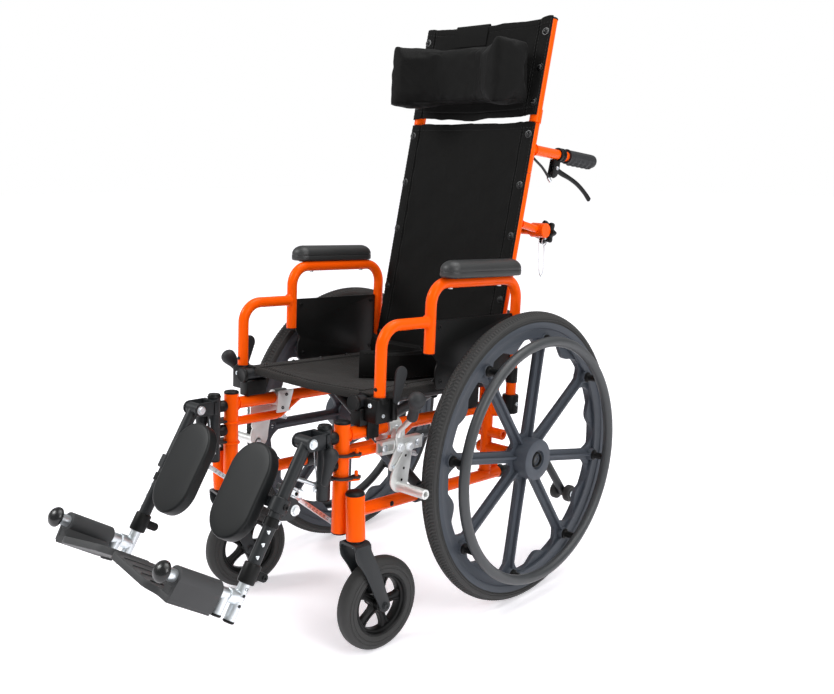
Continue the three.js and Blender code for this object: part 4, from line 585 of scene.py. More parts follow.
def plated(tree, dark, light, rough, gloss, grain=(40.0, 40.0, 900.0)):
    """Bare or plated metal: stretched grain for the rolling lines, and cloudy roughness."""
    place = node(tree, "TexCoord").outputs["Object"]
    stretched = node(tree, "Mapping", {"Scale": grain}, {"Vector": place})
    lines = node(tree, "TexNoise", {"Scale": 1.0, "Detail": 3.0}, {"Vector": stretched.outputs["Vector"]})
    cloud = node(tree, "TexNoise", {"Scale": 60.0, "Detail": 5.0, "Roughness": 0.6}, {"Vector": place})
    shaded(tree, dark, light, cloud.outputs["Fac"], lines.outputs["Fac"], 0.04, rough, gloss)


def shine(level, sheen=None):
    """Shader settings for a gloss, with a cloth's sheen (weight, roughness) where there is one."""
    settings = {"Specular IOR Level": level}
    if sheen:
        settings["Sheen Weight"], settings["Sheen Roughness"] = sheen
    return settings


def finish_recipe(name):
    """The making of each finish: its function, dark and light shade, roughness range, gloss and grain."""
    spacing = look().weave_spacing / MM
    orange = (*look().frame_colour, 1.0)
    deep = tuple(c * 0.86 for c in look().frame_colour) + (1.0,)
    powder_gloss = {"Specular IOR Level": 0.3, "Specular Tint": linear("#FF9A66")}
    recipes = {
        # Stoved powder: wet-looking gloss over a faint orange peel about 2 mm across
        ORANGE: (coated, deep, orange, (0.2, 0.28), powder_gloss, 2.4, 0.03),
        # Satin powder: soft highlights and dust-fine grain
        BLACK: (coated, "#17191B", "#222527", (0.34, 0.48), shine(0.32), 1.2, 0.05, 0.25),
        # Glass-filled nylon: blue-grey, dull, with flow clouds from the mould
        NYLON: (coated, "#30353C", "#40464F", (0.45, 0.6), shine(0.4), 1.4, 0.06, 0.2),
        # Polypropylene: nearly black, waxy satin
        PLASTIC: (coated, "#060606", "#0F1010", (0.36, 0.5), shine(0.2), 1.0, 0.05, 0.15),
        # Soft rubber: matt and slightly grey where hands rub it
        RUBBER: (coated, "#17181A", "#252729", (0.5, 0.66), shine(0.35), 0.9, 0.07, 0.3),
        # Polyurethane tyre: matt charcoal, dust-fine pores
        TYRE: (coated, "#232323", "#333332", (0.6, 0.76), shine(0.4), 1.0, 0.1, 0.4),
        # Coated oxford: tight weave drawn a little coarse so that it shows, faint sheen
        CLOTH: (woven, "#040404", "#10100F", (0.6, 0.78), shine(0.12, (0.015, 0.4)), spacing, 0.16),
        # Duck: rounder, coarser yarn on the seat, coloured lighter and greyer than the back's cloth
        SEAT_CLOTH: (woven, "#0E0D0C", "#272523", (0.7, 0.88), shine(0.2, (0.06, 0.5)), spacing * 1.25,
            0.25),
        # Belt webbing: heavy ribbed yarn
        WEBBING: (woven, "#040404", "#121211", (0.55, 0.72), shine(0.16), spacing * 1.7, 0.4),
        # Foam skin: closed, very fine leather-like grain and a soft shine
        SKIN: (coated, "#0B0D0E", "#141718", (0.4, 0.5), shine(0.27), 1.1, 0.06, 0.1),
        # The same skin on the arms, paler and drier; the paler colour is painted light on the pads
        SKIN_PAINTED_LIGHTER: (coated, "#1B1C1D", "#2A2B2B", (0.42, 0.54), shine(0.5), 1.1, 0.06, 0.1),
        # Bright zinc: silver-blue with cloudy passivation
        ZINC: (plated, "#BFC6CA", "#ECF1F4", (0.24, 0.42), {"Metallic": 0.92}),
        # Fastener heads: same plating, satin enough to stay white from every side
        BRIGHT_BOLT: (plated, "#D8DDE1", "#F6F8F9", (0.4, 0.5), {"Metallic": 0.5}),
        # Dipped vinyl: black with one clear soft highlight
        CAP: (coated, "#08090A", "#121314", (0.22, 0.3), shine(0.5), 1.6, 0.02),
        # Anodised pressings: pale even satin with rolling lines
        ALLOY: (plated, "#CDCFCE", "#E3E4E2", (0.4, 0.5), {"Metallic": 0.75}),
        # Bonded thread: a tight dull cord
        THREAD: (coated, "#101010", "#222221", (0.55, 0.7), shine(0.25), 0.4, 0.08),
        # Filled composite: dark grey with coarse spark-eroded texture
        COMPOSITE: (coated, "#2A2B2C", "#3A3B3C", (0.5, 0.66), shine(0.4), 0.8, 0.14, 0.3),
        # Dipped coating: smooth dark grey
        HANDRIM: (coated, "#2E3032", "#3A3D3F", (0.36, 0.48), shine(0.45), 1.6, 0.03, 0.2),
        # Oxford over foam: its threads are too fine to draw on a simulated skin, so a fine grain instead
        CLOTH_ON_FORM: (coated, "#050505", "#10100F", (0.6, 0.76), shine(0.12, (0.015, 0.4)), 1.6, 0.16,
            0.2),
        # Enamelled stud: hard and shiny, so every dome carries one small light
        STUD: (coated, "#050506", "#0D0D0E", (0.24, 0.32), shine(0.4), 0.8, 0.01),
    }
    return recipes[name]


def material(name):
    """The finish, made once."""
    made = bpy.data.materials.get(name)
    if made is None:
        made = bpy.data.materials.new(name)
        made.use_nodes = True
        made.node_tree.nodes.clear()
        make, dark, light, *values = finish_recipe(name)
        make(made.node_tree, linear(dark), linear(light), *values)
    return made


# Side frames and brace

def weld(centre, along, tube_radius, reach, width=4.5):
    """A fillet of weld: a collar that falls from a joint to the tube, radius + width * (1 - t) ** 2."""
    t = np.linspace(0, 1, 5)
    profile = np.stack([reach + t * width, tube_radius - 0.4 + width * 0.8 * (1 - t) ** 2], -1)
    return stack(centre, along, profile, 24)


def side_frame(side):
    """Posts, rails, housing, lugs, hinge plates and anti-tip tube: bent tubes and plates."""
    s = Shells(on_chassis, side)
    x = FRAME_X
    s.add(tube([(x, POST_Y, -94), (x, POST_Y, 113)], POST_RADIUS, sides=36), ORANGE)
    for z in (RAIL_HIGH, RAIL_LOW):
        rear = REAR_POST_Y if z > 0 else 44
        s.add(tube([(x, POST_Y, z), (x, rear, z)], RAIL_RADIUS, sides=32), ORANGE)
        s.add(weld((x, POST_Y, z), REAR, RAIL_RADIUS, 13.2), ORANGE)
    s.add(tube([(x, REAR_POST_Y, RAIL_LOW), (x, REAR_POST_Y, 120)], RAIL_RADIUS, sides=32), ORANGE)
    s.add(weld((x, REAR_POST_Y, RAIL_HIGH), FRONT, RAIL_RADIUS, 11), ORANGE)
    s.add(weld((x, REAR_POST_Y, RAIL_LOW), UP, RAIL_RADIUS, 11), ORANGE)
    s.add(tube([(x, POST_Y, 52), (x, -302, 52), (x, -240, RAIL_HIGH)], THIN_RADIUS, 27.5, 24), ORANGE)
    s.add(plug((x, POST_Y, 113), UP, 15.4, 5), PLASTIC)
    s.add(plug((x, POST_Y, -94), DOWN, 14.6, 3), PLASTIC)
    s.add(stack((*CASTER_STEM[:2], 231), UP, [(0, 17.2), (1, 18), (86, 18), (87, 17.4), (87, 1)], 36),
        ORANGE, place=level)
    cap = [(1.6 + 7 * math.sin(t), 18.2 * math.cos(t)) for t in np.linspace(0, math.pi / 2 - 0.06, 7)]
    s.add(stack((*CASTER_STEM[:2], 317.5), UP, [(0, 18.2)] + cap, 32), PLASTIC, place=level)
    s.add(stack((*CASTER_STEM[:2], 229), UP, [(0, 15.5), (0.6, 17.6), (2.4, 17.6)], 32), PLASTIC,
        place=level)
    s.add(plate("yz", [(-424.9, -93), (-412.9, -93), (-412.9, -38), (-424.9, -38)], x, 206, 1.5), ORANGE)
    for top in HANGER_PIN_TOPS:
        outline = link((x, POST_Y), 19, HANGER_PIN, 7.6, 12)
        s.add(plate("xy", outline, top - 4, top, 0.8), ORANGE)
        s.add(stack((*HANGER_PIN, top - 2), UP, [(0, 3.6), (13, 3.6), (15.2, 3), (16, 1.6), (16, 0.2)], 18),
            ORANGE)
    for inner in (152, 179.5):
        a = np.linspace(0, math.pi, 13)
        arc = HINGE[1:] + 14 * heading(a)
        outline = np.concatenate([[(-13.5, 84), (14.5, 84)], arc])
        s.add(plate("yz", outline, inner, inner + 4.5, 0.8), ORANGE)
    s.add(stack((x - 20, *HINGE[1:]), OUT, [(0, 5), (40, 5)], 16), ZINC)
    bolt(s, ZINC, (x + 16, *HINGE[1:]), OUT, 7)
    s.add(socket_screw((x - 16, *HINGE[1:]), IN, 7, 4.5), ZINC)
    s.add(round_box((x - 15.5, -88, 96), (x + 15.5, -54, 147.2), 5, "xz", 1.5), PLASTIC)
    s.add(stack((150, 0, 0), OUT, [(0, 11.6), (0.9, RAIL_RADIUS), (75, RAIL_RADIUS), (76, 11.6)], 32),
        ORANGE)
    s.add(stack((150, 0, 34.7), OUT, [(0, 10.7), (0.9, 11.5), (61, 11.5), (62, 10.7), (62, 6.2), (50, 6.2)],
        28), ORANGE)
    s.add(stack((225, 0, 0), OUT, [(0, 8.9), (14, 8.9), (14.4, 8.2)], 24), ZINC)
    s.add(stack((238, 0, 0), OUT, [(0, 6), (53.5, 6)], 20), ZINC)
    bolt(s, ZINC, (150.4, 0, 0), IN, 9, 6)
    s.add(tube([(x, REAR_POST_Y, 80), (ARM_X, ARM_REAR_Y, 80)], TUBE_RADIUS, sides=24), ORANGE)
    s.add(stack((ARM_X, ARM_REAR_Y, 78), UP, [(0, 14), (1.5, 17), (3, 17.6), (38, 17.6), (40.5, 16.6),
        (41.5, 12.2), (38, 11.8)], 32), PLASTIC)
    s.add(socket_screw((ARM_X + 17, ARM_REAR_Y, 100), OUT, 4.2, 3), ZINC)
    s.add(stack((x - 6, 38, RAIL_LOW), UP, [(0, 8), (33, 8), (34, 7)], 20), ORANGE)
    s.add(stack((x, 38, -36), IN, [(0, 4), (29, 4), (30, 3.2)], 16), ZINC)
    s.add(tube([(x, 31.5, RAIL_LOW), (x, 218, RAIL_LOW), (x, *TIP_AXLE)], THIN_RADIUS, 25, 24), BLACK)
    s.add(stack((x, 43, RAIL_LOW), REAR, [(-2, 13.4), (0, 14), (12, 14), (14, 12.6), (14, 9)], 28), PLASTIC)
    for y in (78, 103, 128, 153):
        for direction in (1, -1):
            s.add(stack((x + direction * 9.2, y, RAIL_LOW), (direction, 0, 0),
                [(0, 3.4), (0.7, 3.4), (0.7, 2.5), (-0.3, 2.5)], 14), ZINC)
    s.add(stack((x - 9.5, *TIP_AXLE), OUT, [(0, 9), (0.6, 9.8), (18.4, 9.8), (19, 9)], 24), BLACK)
    for sign in (1, -1):
        s.add(stack((x, *TIP_AXLE), (sign, 0, 0), [(9, 4), (29, 4)], 14), ZINC)
        bolt(s, ZINC, (x + sign * 26.3, *TIP_AXLE), (sign, 0, 0), 5.4, 3.6)
    for y in (-300, -90):
        s.add(plug((x + 12.2, y, RAIL_LOW), OUT, 5, 1.6, 16), PLASTIC)
    build_pair(side, "frame_tubes", s, "chassis", "side_frame")


def cross_brace(side):
    """One diagonal with its seat rail and pivot sleeve; side is the seat rail's side."""
    s = Shells(on_chassis, side)
    x, bar = FRAME_X, (-172 if side > 0 else -196.5)
    s.add(stack((-x, -225, RAIL_LOW), REAR, [(0, 15.4), (1.2, 16.5), (80.8, 16.5), (82, 15.4)], 32), BLACK)
    s.add(tube([(-x, bar, RAIL_LOW), (x, bar, SEAT_RAIL_Z)], TUBE_RADIUS, sides=28), BLACK)
    s.add(tube([(x, -397, SEAT_RAIL_Z), (x, -22, SEAT_RAIL_Z)], RAIL_RADIUS, sides=32), BLACK)
    s.add(stack((x, -394.5, SEAT_RAIL_Z), FRONT, [(0, 15.5), (1, 15.9), (5.4, 15.9), (7.2, 14.8),
        (7.5, 12.5), (6.9, 11), (6.9, 0.3)], 32), PLASTIC)
    s.add(plug((x, -22, SEAT_RAIL_Z), REAR, 12.8, 4), PLASTIC)
    direction = np.array([2 * x, 0, 209.5]) / math.hypot(2 * x, 209.5)
    s.add(weld((x, bar, SEAT_RAIL_Z), -direction, 11, 11.5, 6), BLACK)
    s.add(weld((-x, bar, RAIL_LOW), direction, 11, 15.5, 6), BLACK)
    if side > 0:
        s.add(stack((0, bar, 42.75), FRONT, [(-11, 5), (36, 5)], 18), ZINC)
        bolt(s, ZINC, (0, bar + 11, 42.75), REAR, 8)
        bolt(s, BLACK, (0, bar - 35.5, 42.75), FRONT, 8)
        s.add(stack((0, bar - 11, 42.75), FRONT, [(0, 12.5), (2.2, 12.5)], 28), PLASTIC)
    build_pair(side, "cross_brace", s, "chassis", "brace")


# Seat, belt and arm sockets

def seat_top(x, y):
    """Height of the seat sling: 163.3 less a sag that grows over the first 90 mm and fades to the rails."""
    share = np.minimum(1, np.abs(x) / 155.5)
    along = np.clip((y + 373) / 90, 0, 1)
    return 163.3 - (4 + 8 * along) * (1 - share ** 2)


def sheet_rings(top, bottom):
    """Rings round a thick sheet: its top row by row, returning along its underside."""
    return np.concatenate([top, bottom[:, ::-1]], 1)


def seat_cloth():
    """Sling over both rails: sagging middle, rolled front edge, and skirts down the outside of the rails."""
    s = Shells(on_chassis)
    across = np.linspace(-1, 1, 141)
    rows = np.linspace(-372, -34, 110)
    x = np.clip(across * 198, -183.8, 183.8)[None]
    over = np.maximum(np.abs(across * 198) - 183.8, 0)[None]
    y = rows[:, None] + 0 * x
    hang = smooth(y, -332, -324)
    drop = over * (0.15 + 0.85 * hang)
    edge = np.maximum(np.abs(x) - 178, 0)
    z = seat_top(x, y) - drop - (6 - np.sqrt(np.maximum(36 - edge ** 2, 0))) * 0.6
    inside = smooth(150 - np.abs(x), 0, 30)
    z = z + rumple(x, y, 0.7, 90, 3) * inside - 1.1 * np.exp(-((np.abs(x) - 149) / 2.2) ** 2)
    nose = np.exp(-((y + 358) / 2.4) ** 2) * 0.9 * inside
    top = np.stack([x + 0 * y, y, z - nose], -1)
    under = top.copy()
    flat = over <= 0
    under[..., 2] -= np.where(flat, 2.8, 0)
    under[..., 0] -= np.sign(across)[None] * np.where(flat, 0, 2.6)
    # The front rows roll over a small radius and tuck under
    turn = np.linspace(0, math.pi * 0.5, 9)[1:][::-1, None]
    span = np.linspace(-156, 156, 141)[None]
    roll_top = np.stack([span + 0 * turn, -372 - 5 * np.sin(turn) + 0 * span, seat_top(span, -372.0) - 10
        * (1 - np.cos(turn)) - 3 * turn / (math.pi / 2)], -1)
    roll_under = np.stack([span + 0 * turn, -372 - 3.5 * np.sin(turn) + 0 * span, seat_top(span, -372.0)
        - 2.8 - 8 * (1 - np.cos(turn)) - 2.4 * turn / (math.pi / 2)], -1)
    s.add(sheet_rings(top, under), SEAT_CLOTH)
    first = np.stack([span[0], 0 * span[0] - 371, seat_top(span[0], -371.0) - 0.1], -1)[None]
    first_under = first - np.array([0, 0, 2.6])
    s.add(sheet_rings(np.concatenate([roll_top, first]), np.concatenate([roll_under, first_under])),
        SEAT_CLOTH)
    piece = build("seat_cloth", s, "chassis", ["seat_sling"], angle=60)
    t = Shells(on_chassis)
    for sx in (-149, 149):
        run = np.linspace(-366, -38, 60)
        for off in (-2.6, 2.6):
            line = np.stack([0 * run + sx + off, run, seat_top(sx + off, run) + 0.35], -1)
            stitches(t, line)
    for y0 in (-362, -354):
        run = np.linspace(-147, 147, 80)
        stitches(t, np.stack([run, 0 * run + y0, seat_top(run, y0) + 0.4], -1))
    # Flat tacks along the rails hold the sling down
    for side in (1, -1):
        for y0 in (-340, -262, -184, -106, -52):
            t.add(snap((side * 168, y0, 163), UP, 5.6), STUD)
    trim = build("seat_stitching", t, "chassis")


def lap_belt():
    """The belt's two padded halves, heaped on the seat."""
    belt_half("lap_belt_band", [(-128, -62), (-80, -84), (-30, -92), (20, -88), (52, -98), (66, -124),
        (68, -156), (56, -186), (36, -212), (12, -238)], ["lap_belt"])
    belt_half("lap_belt_half", [(150, -24), (142, -76), (131, -126), (118, -168), (100, -204), (72, -226)])


def belt_half(piece_name, route, replaced=None):
    """A padded belt half standing on its edge, curling over the seat, with its webbing and stitching."""
    route = np.array(route, float)
    centre = spline(np.column_stack([route, 0 * route[:, 0]]), 120)
    along = unit(np.gradient(centre, axis=0))
    out = np.stack([along[:, 1], -along[:, 0], 0 * along[:, 0]], -1)
    t = np.linspace(0, 1, len(centre))
    up = np.linspace(0, 1, 22)
    lean = 5 * np.sin(math.pi * up)[None] * np.cos(3 * math.pi * t)[:, None]
    foot = seat_top(centre[:, 0], centre[:, 1]) + 0.6
    puff = 2.5 * (1 - (2 * up - 1) ** 8)[None] * (1 - (2 * t - 1) ** 20)[:, None]
    base = centre[:, None] + out[:, None] * lean[..., None]
    base[..., 2] = foot[:, None] + 58 * up[None]
    s = Shells(on_chassis)
    s.add(sheet_rings(base + out[:, None] * puff[..., None], base - out[:, None] * puff[..., None]),
        WEBBING)
    belt = build(piece_name, s, "chassis", replaced, angle=60)
    thread = Shells(on_chassis)
    for k in (2, 19):
        for sign in (1, -1):
            line = base[3:-3, k] + out[3:-3] * (puff[3:-3, k] * sign + 0.2 * sign)[:, None]
            stitches(thread, line)
    trim = build(piece_name + "_stitching", thread, "chassis")
    float(norm(np.diff(centre, axis=0), axis=1).sum()) * MM


def spline(points, count):
    """A smooth curve through the points: Catmull-Rom, each span a cubic in t."""
    p = np.asarray(points, float)
    p = np.concatenate([[2 * p[0] - p[1]], p, [2 * p[-1] - p[-2]]])
    u = np.linspace(0, len(p) - 3 - 1e-9, count)
    i = u.astype(int)
    t = (u - i)[:, None]
    a, b, c, d = p[i], p[i + 1], p[i + 2], p[i + 3]
    return 0.5 * (2 * b + (c - a) * t + (2 * a - 5 * b + 4 * c - d) * t ** 2 + (3 * b - a - 3 * c + d) * t
        ** 3)


def arm_socket(side):
    """Block that takes the arm's front leg and cradles the seat rail, with its strap and thumb paddle."""
    s = Shells(on_chassis, side)
    s.add(round_box((155, -394, 103.6), (182, -345, 137), 4, "xz", 1.5), PLASTIC)
    s.add(round_box((182.6, -387, 114), (219, -342, 158), 6, "xy", 1.6), PLASTIC)
    s.add(stack((ARM_X, ARM_FRONT_Y, 150), UP, [(0, 15.2), (10, 15.2), (11.4, 14.4), (11.4, 11.6),
        (6, 11.6)], 32), PLASTIC)
    s.add(round_box((181, -376, 78), (184, -346, 118), 3, "yz", 0.8), PLASTIC)
    s.add(round_box((219, -352, 118), (226, -340, 160), 3, "xy", 1.0), PLASTIC)
    paddle = link((-337, 204), 15, (-347, 158), 8, 14)
    s.add(crowned("yz", paddle, [(224.6, 1.6), (225.2, 0.4), (226.4, 0), (227.8, 0), (229.0, 0.5),
        (229.6, 1.8)]), RUBBER)
    s.add(socket_screw((200, -387, 146), FRONT, 4.4, 2.4), ZINC)
    s.add(socket_screw((219, -372, 128), OUT, 3.6, 1.8), ZINC)
    build_pair(side, "arm_socket_block", s, "chassis", "arm_socket")


def arm_frame(side):
    """Armrest tubes: a hoop over the pad and the lower front leg welded to it."""
    s = Shells(on_chassis, side)
    x = ARM_X
    s.add(tube([(x, ARM_REAR_Y, 99), (x, ARM_REAR_Y, ARM_TOP_Z), (x, ARM_MIDDLE_Y, ARM_TOP_Z),
        (x, ARM_MIDDLE_Y, 230)], TUBE_RADIUS, 42, 32, steps=15), ORANGE)
    s.add(tube([(x, ARM_MIDDLE_Y, ARM_STEP_Z), (x, ARM_FRONT_Y, ARM_STEP_Z), (x, ARM_FRONT_Y, 126)],
        TUBE_RADIUS, 42, 32, steps=15), ORANGE)
    s.add(weld((x, ARM_MIDDLE_Y, ARM_STEP_Z), FRONT, 11, 9.8, 5), ORANGE)
    s.add(plug((x, ARM_MIDDLE_Y, 230), DOWN, 10.6, 2), PLASTIC)
    s.add(stack((x, -379.6, 176), FRONT, [(0, 3.6), (1.4, 3.6), (2.2, 2.8), (2.2, 0.2)], 18), PLASTIC)
    s.add(stack((x, ARM_REAR_Y, 145), UP, [(0, 12.0), (1, 12.6), (31, 12.6), (32, 12.0)], 28), PLASTIC)
    for y in (-185, -34):
        s.add(socket_screw((x, y, 355), DOWN, 4.6, 2.6), ZINC)
    build_pair(side, "arm_tubes", s, "armrest", "arm_frame")


def stadium(centre_u, centre_v, half, straight, steps):
    """Two half circles joined by straight sides along v."""
    a = np.linspace(0, math.pi, steps)
    top = [centre_u, centre_v + straight] + half * heading(a)
    foot = [centre_u, centre_v - straight] - half * heading(a)
    return np.concatenate([top, foot])


def arm_pad(side):
    """Moulded pad: a stadium raised through levels that round into a crowned top, on its base board."""
    s = Shells(on_chassis, side)
    outline = stadium(220.5, -109.5, 25, 87.5, 28)
    base = 376.9
    rise = [(0, 3), (0.8, 1.2), (2, 0.4), (4, 0), (10.6, 0), (11.6, 0.5), (11.9, 1.5), (12.3, 0.6),
        (14, 0.3), (18, 0.9), (21.6, 2.4), (24.8, 4.8), (27.6, 7.8), (29.8, 11.2), (31.4, 15), (32.5, 19),
        (33, 23)]
    # The pad's skin is coloured paler than the calf pads' skin as painted light
    s.add(crowned("xy", outline, [(base + h, d) for h, d in rise]), SKIN_PAINTED_LIGHTER)
    s.add(crowned("xy", stadium(217, -109.5, 15, 84, 16), [(374.6, 1), (375.2, 0), (378, 0)]), PLASTIC)
    pad = build_pair(side, "arm_cushion", s, "armrest", "arm_pad", angle=50)


def side_panel(side):
    """Skirt guard: a notched plastic sheet with a rolled edge, held by clips."""
    s = Shells(on_chassis, side)
    front, rear = -227.7, 14.7
    outline = rounded([(front, 294), (front, 224), (front + 14, 210), (front + 7, 196), (front + 7, 170),
        (front + 14, 156), (rear, 156), (rear, 294)], [4, 10, 8, 10, 10, 10, 14, 4], 6)
    s.add(plate("yz", outline, 203.5, 207.5, 1.0), PLASTIC)
    for y, z in ((-214, 280), (2, 280), (2, 172), (-205, 172)):
        s.add(socket_screw((207, y, z), OUT, 4.8, 2.2), PLASTIC)
        s.add(socket_screw((204, y, z), IN, 4.8, 2.2), PLASTIC)
    build_pair(side, "skirt_guard", s, "armrest", "side_panel")


# Wheels and casters

def turned(profile, centre_yz, sides):
    """A lathe about an X axis: each (radius, x) of the closed profile goes round as a circle."""
    profile = np.asarray(profile, float)
    a = angles(sides)
    r, x = profile[None, :, 0], profile[None, :, 1]
    y = centre_yz[0] + r * np.cos(a)[:, None]
    z = centre_yz[1] + r * np.sin(a)[:, None]
    return np.stack([np.broadcast_to(x, y.shape), y, z], -1)


def tyre(side):
    """Solid tyre: a crowned lathe, cut where (lug + slope * |x|) mod 1 < 0.45, once upright, once slanted."""
    s = Shells(on_chassis, side)
    flank = [(283.4, -15.5), (284.2, -16.8), (285.6, -17.6), (286, -16.6), (286.8, -16.6), (287.2, -17.9),
        (289.6, -18), (290, -17), (290.8, -17), (291.2, -17.9), (294, -17.2), (296.2, -16.2), (297, -15.2),
        (297.3, -14.2), (298.6, -13.6), (299.8, -12.7)]
    x = np.linspace(-11.8, 0, 17)
    crown = np.stack([305 - 4.6 * (np.abs(x) / 12) ** 2.2, x], -1)
    profile = np.concatenate([flank, crown])
    profile = np.concatenate([profile, profile[-2::-1] * [1, -1]])
    lugs = look().tread_lugs
    sides = lugs * 4
    rings = turned(profile + [0, WHEEL_X], (0, 0), sides)
    a = angles(sides)[:, None]
    out = np.abs(profile[None, :, 1])
    turn = np.arange(sides)[:, None] / 4
    edge_row = ((turn % 1.0) < 0.45) & (out > 7.8) & (out < 12.9)
    slant_row = (((turn + out * 0.16) % 1.0) < 0.45) & (out > 1.2) & (out < 6.8)
    cut = np.where(edge_row | slant_row, 2.0, 0) + np.where(np.abs(out - 7.3) < 0.45, 1.4, 0)
    rings[..., 1] -= cut * np.cos(a)
    rings[..., 2] -= cut * np.sin(a)
    s.add(rings, TYRE, loop=True)
    build_pair(side, "solid_tyre", s, "wheel", "tyre", angle=26)


def wheel_rim(side):
    """Moulded wheel: channel rim, web with a wavy window edge, eight ribbed spokes, hub drum with cap."""
    s = Shells(on_chassis, side)
    c = WHEEL_X
    half_ring = [(280, 12), (284.4, 16.6), (283.6, 17.4), (280, 17), (273, 16.4), (271.2, 15.6),
        (270.2, 13.6), (268.6, 12.8), (258, 11.6), (254, 12.2), (251.8, 12), (250.6, 10.4)]
    ring = half_ring + [(r, -x) for r, x in half_ring[::-1]]
    s.add(turned([(r, c + x) for r, x in ring], (0, 0), 240), NYLON, loop=True)
    # Web: its inner edge swings in and out eight times, and swells into a fillet at every spoke
    a = angles(480)
    phase = WHEEL_PHASE[side]
    share = ((a - phase) / (2 * math.pi / SPOKES)) % 1.0
    inner = 240 - 10 * np.cos(2 * math.pi * (2 * share - 1))
    reach = np.minimum(share, 1 - share) * 2 * math.pi / SPOKES * 230
    inner = inner - 15 * np.clip(1 - (reach - 10) / 19, 0, 1) ** 2
    web = np.array([(0, -4.2), (1.2, -5), (3.5, -5), (3.5, 5), (1.2, 5), (0, 4.2)])
    radius = np.where(web[None, :, 0] < 3, inner[:, None] + web[None, :, 0], 258.0)
    x = np.broadcast_to(c + web[:, 1], radius.shape)
    s.add(np.stack([x, radius * np.cos(a)[:, None], radius * np.sin(a)[:, None]], -1), NYLON, loop=True)
    # Spokes: half width and rib height along the radius
    r = np.array([40, 46, 52, 60, 80, 120, 165, 205, 222, 229, 235, 243, 256.0])
    w = np.array([26, 20, 15, 12.4, 12, 12, 12, 12, 12.6, 15, 20, 27, 30.0])
    rib = np.array([15, 15, 15, 15, 14.6, 14.2, 14, 14, 14.2, 14.6, 15, 15, 15.0])
    shape = np.array([(-1, -3.6, 0), (-1, 3.6, 0), (-0.94, 4.9, 0), (-0.42, 5.2, 0), (-0.27, 6.4, 0),
        (-0.22, 0, 1), (-0.14, 0.8, 1), (0.14, 0.8, 1), (0.22, 0, 1), (0.27, 6.4, 0), (0.42, 5.2, 0),
        (0.94, 4.9, 0), (1, 3.6, 0), (1, -3.6, 0), (0.94, -4.9, 0), (0.42, -5.2, 0), (0.27, -6.4, 0),
        (0.22, 0, -1), (0.14, -0.8, -1), (-0.14, -0.8, -1), (-0.22, 0, -1), (-0.27, -6.4, 0),
        (-0.42, -5.2, 0), (-0.94, -4.9, 0)])
    core = np.abs(shape[:, 0]) < 0.5
    across = np.where(core[None], shape[None, :, 0] * 12, shape[None, :, 0] * w[:, None])
    out = np.where(shape[None, :, 2] != 0, shape[None, :, 2] * rib[:, None] - 0.8 * shape[None, :, 2]
        + shape[None, :, 1], shape[None, :, 1])
    for i in range(SPOKES):
        angle = phase + i * 2 * math.pi / SPOKES
        y = r[:, None] * math.cos(angle) - across * math.sin(angle)
        z = r[:, None] * math.sin(angle) + across * math.cos(angle)
        s.add(np.stack([c + out, y, z], -1), NYLON)
        # Boss under every handrim stub: a raised collar on the rib's end
        centre = (c, PUSH_RADIUS * math.cos(angle), PUSH_RADIUS * math.sin(angle))
        s.add(stack(centre, OUT, [(3, 15), (11, 13.5), (14.2, 12.4), (15.2, 11)], 28), NYLON)
        s.add(stack(centre, IN, [(3, 13), (12, 11.5), (14.5, 10.5), (14.5, 5.4), (12, 5.2)], 24), NYLON)
        bolt(s, ZINC, (c - 12.4, centre[1], centre[2]), IN, 4, 2.4, False)
    hub = [(240.3, 0.5), (240.3, 21), (243, 24), (248, 30), (252.6, 41), (254, 43), (303, 43), (305, 42.2),
        (305.8, 40.4), (305.8, 23), (305.2, 20.4), (301, 19.6), (300, 19), (300, 0.5)]
    s.add(stack((0, 0, 0), OUT, hub, 64), NYLON)
    s.add(stack((299.6, 0, 0), OUT, [(0, 16.4), (3.6, 15.8), (5.2, 14.4), (5.4, 13.2), (4.6, 12.4),
        (-2, 12.2), (-2, 0.4)], 40), PLASTIC)
    s.add(stack((297, 0, 0), OUT, [(0, 8.6), (3.4, 8.6), (4, 7.8), (4, 4.2), (2.6, 3.6), (2.6, 0.2)], 28),
        COMPOSITE)
    s.add(stack((240, 0, 0), IN, [(-2, 21), (0, 20), (0.4, 18), (0.4, 9.6)], 36), PLASTIC)
    build_pair(side, "moulded_rim", s, "wheel", "rim", angle=32)


def handrim(side):
    """Push ring: a torus 248 out on a 10.5 tube, standing on eight flanged stubs."""
    s = Shells(on_chassis, side)
    section = circle(10.5, 24) + [PUSH_RADIUS, 316]
    s.add(turned(section, (0, 0), 240), HANDRIM, loop=True)
    for i in range(SPOKES):
        angle = WHEEL_PHASE[side] + i * 2 * math.pi / SPOKES
        centre = (283.3, PUSH_RADIUS * math.cos(angle), PUSH_RADIUS * math.sin(angle))
        s.add(stack(centre, OUT, [(0, 11.4), (3.2, 11), (4.4, 8.2), (7, 7), (22, 7), (26, 8), (30, 9)], 24),
            PLASTIC)
    build_pair(side, "push_ring", s, "wheel", "handrim")


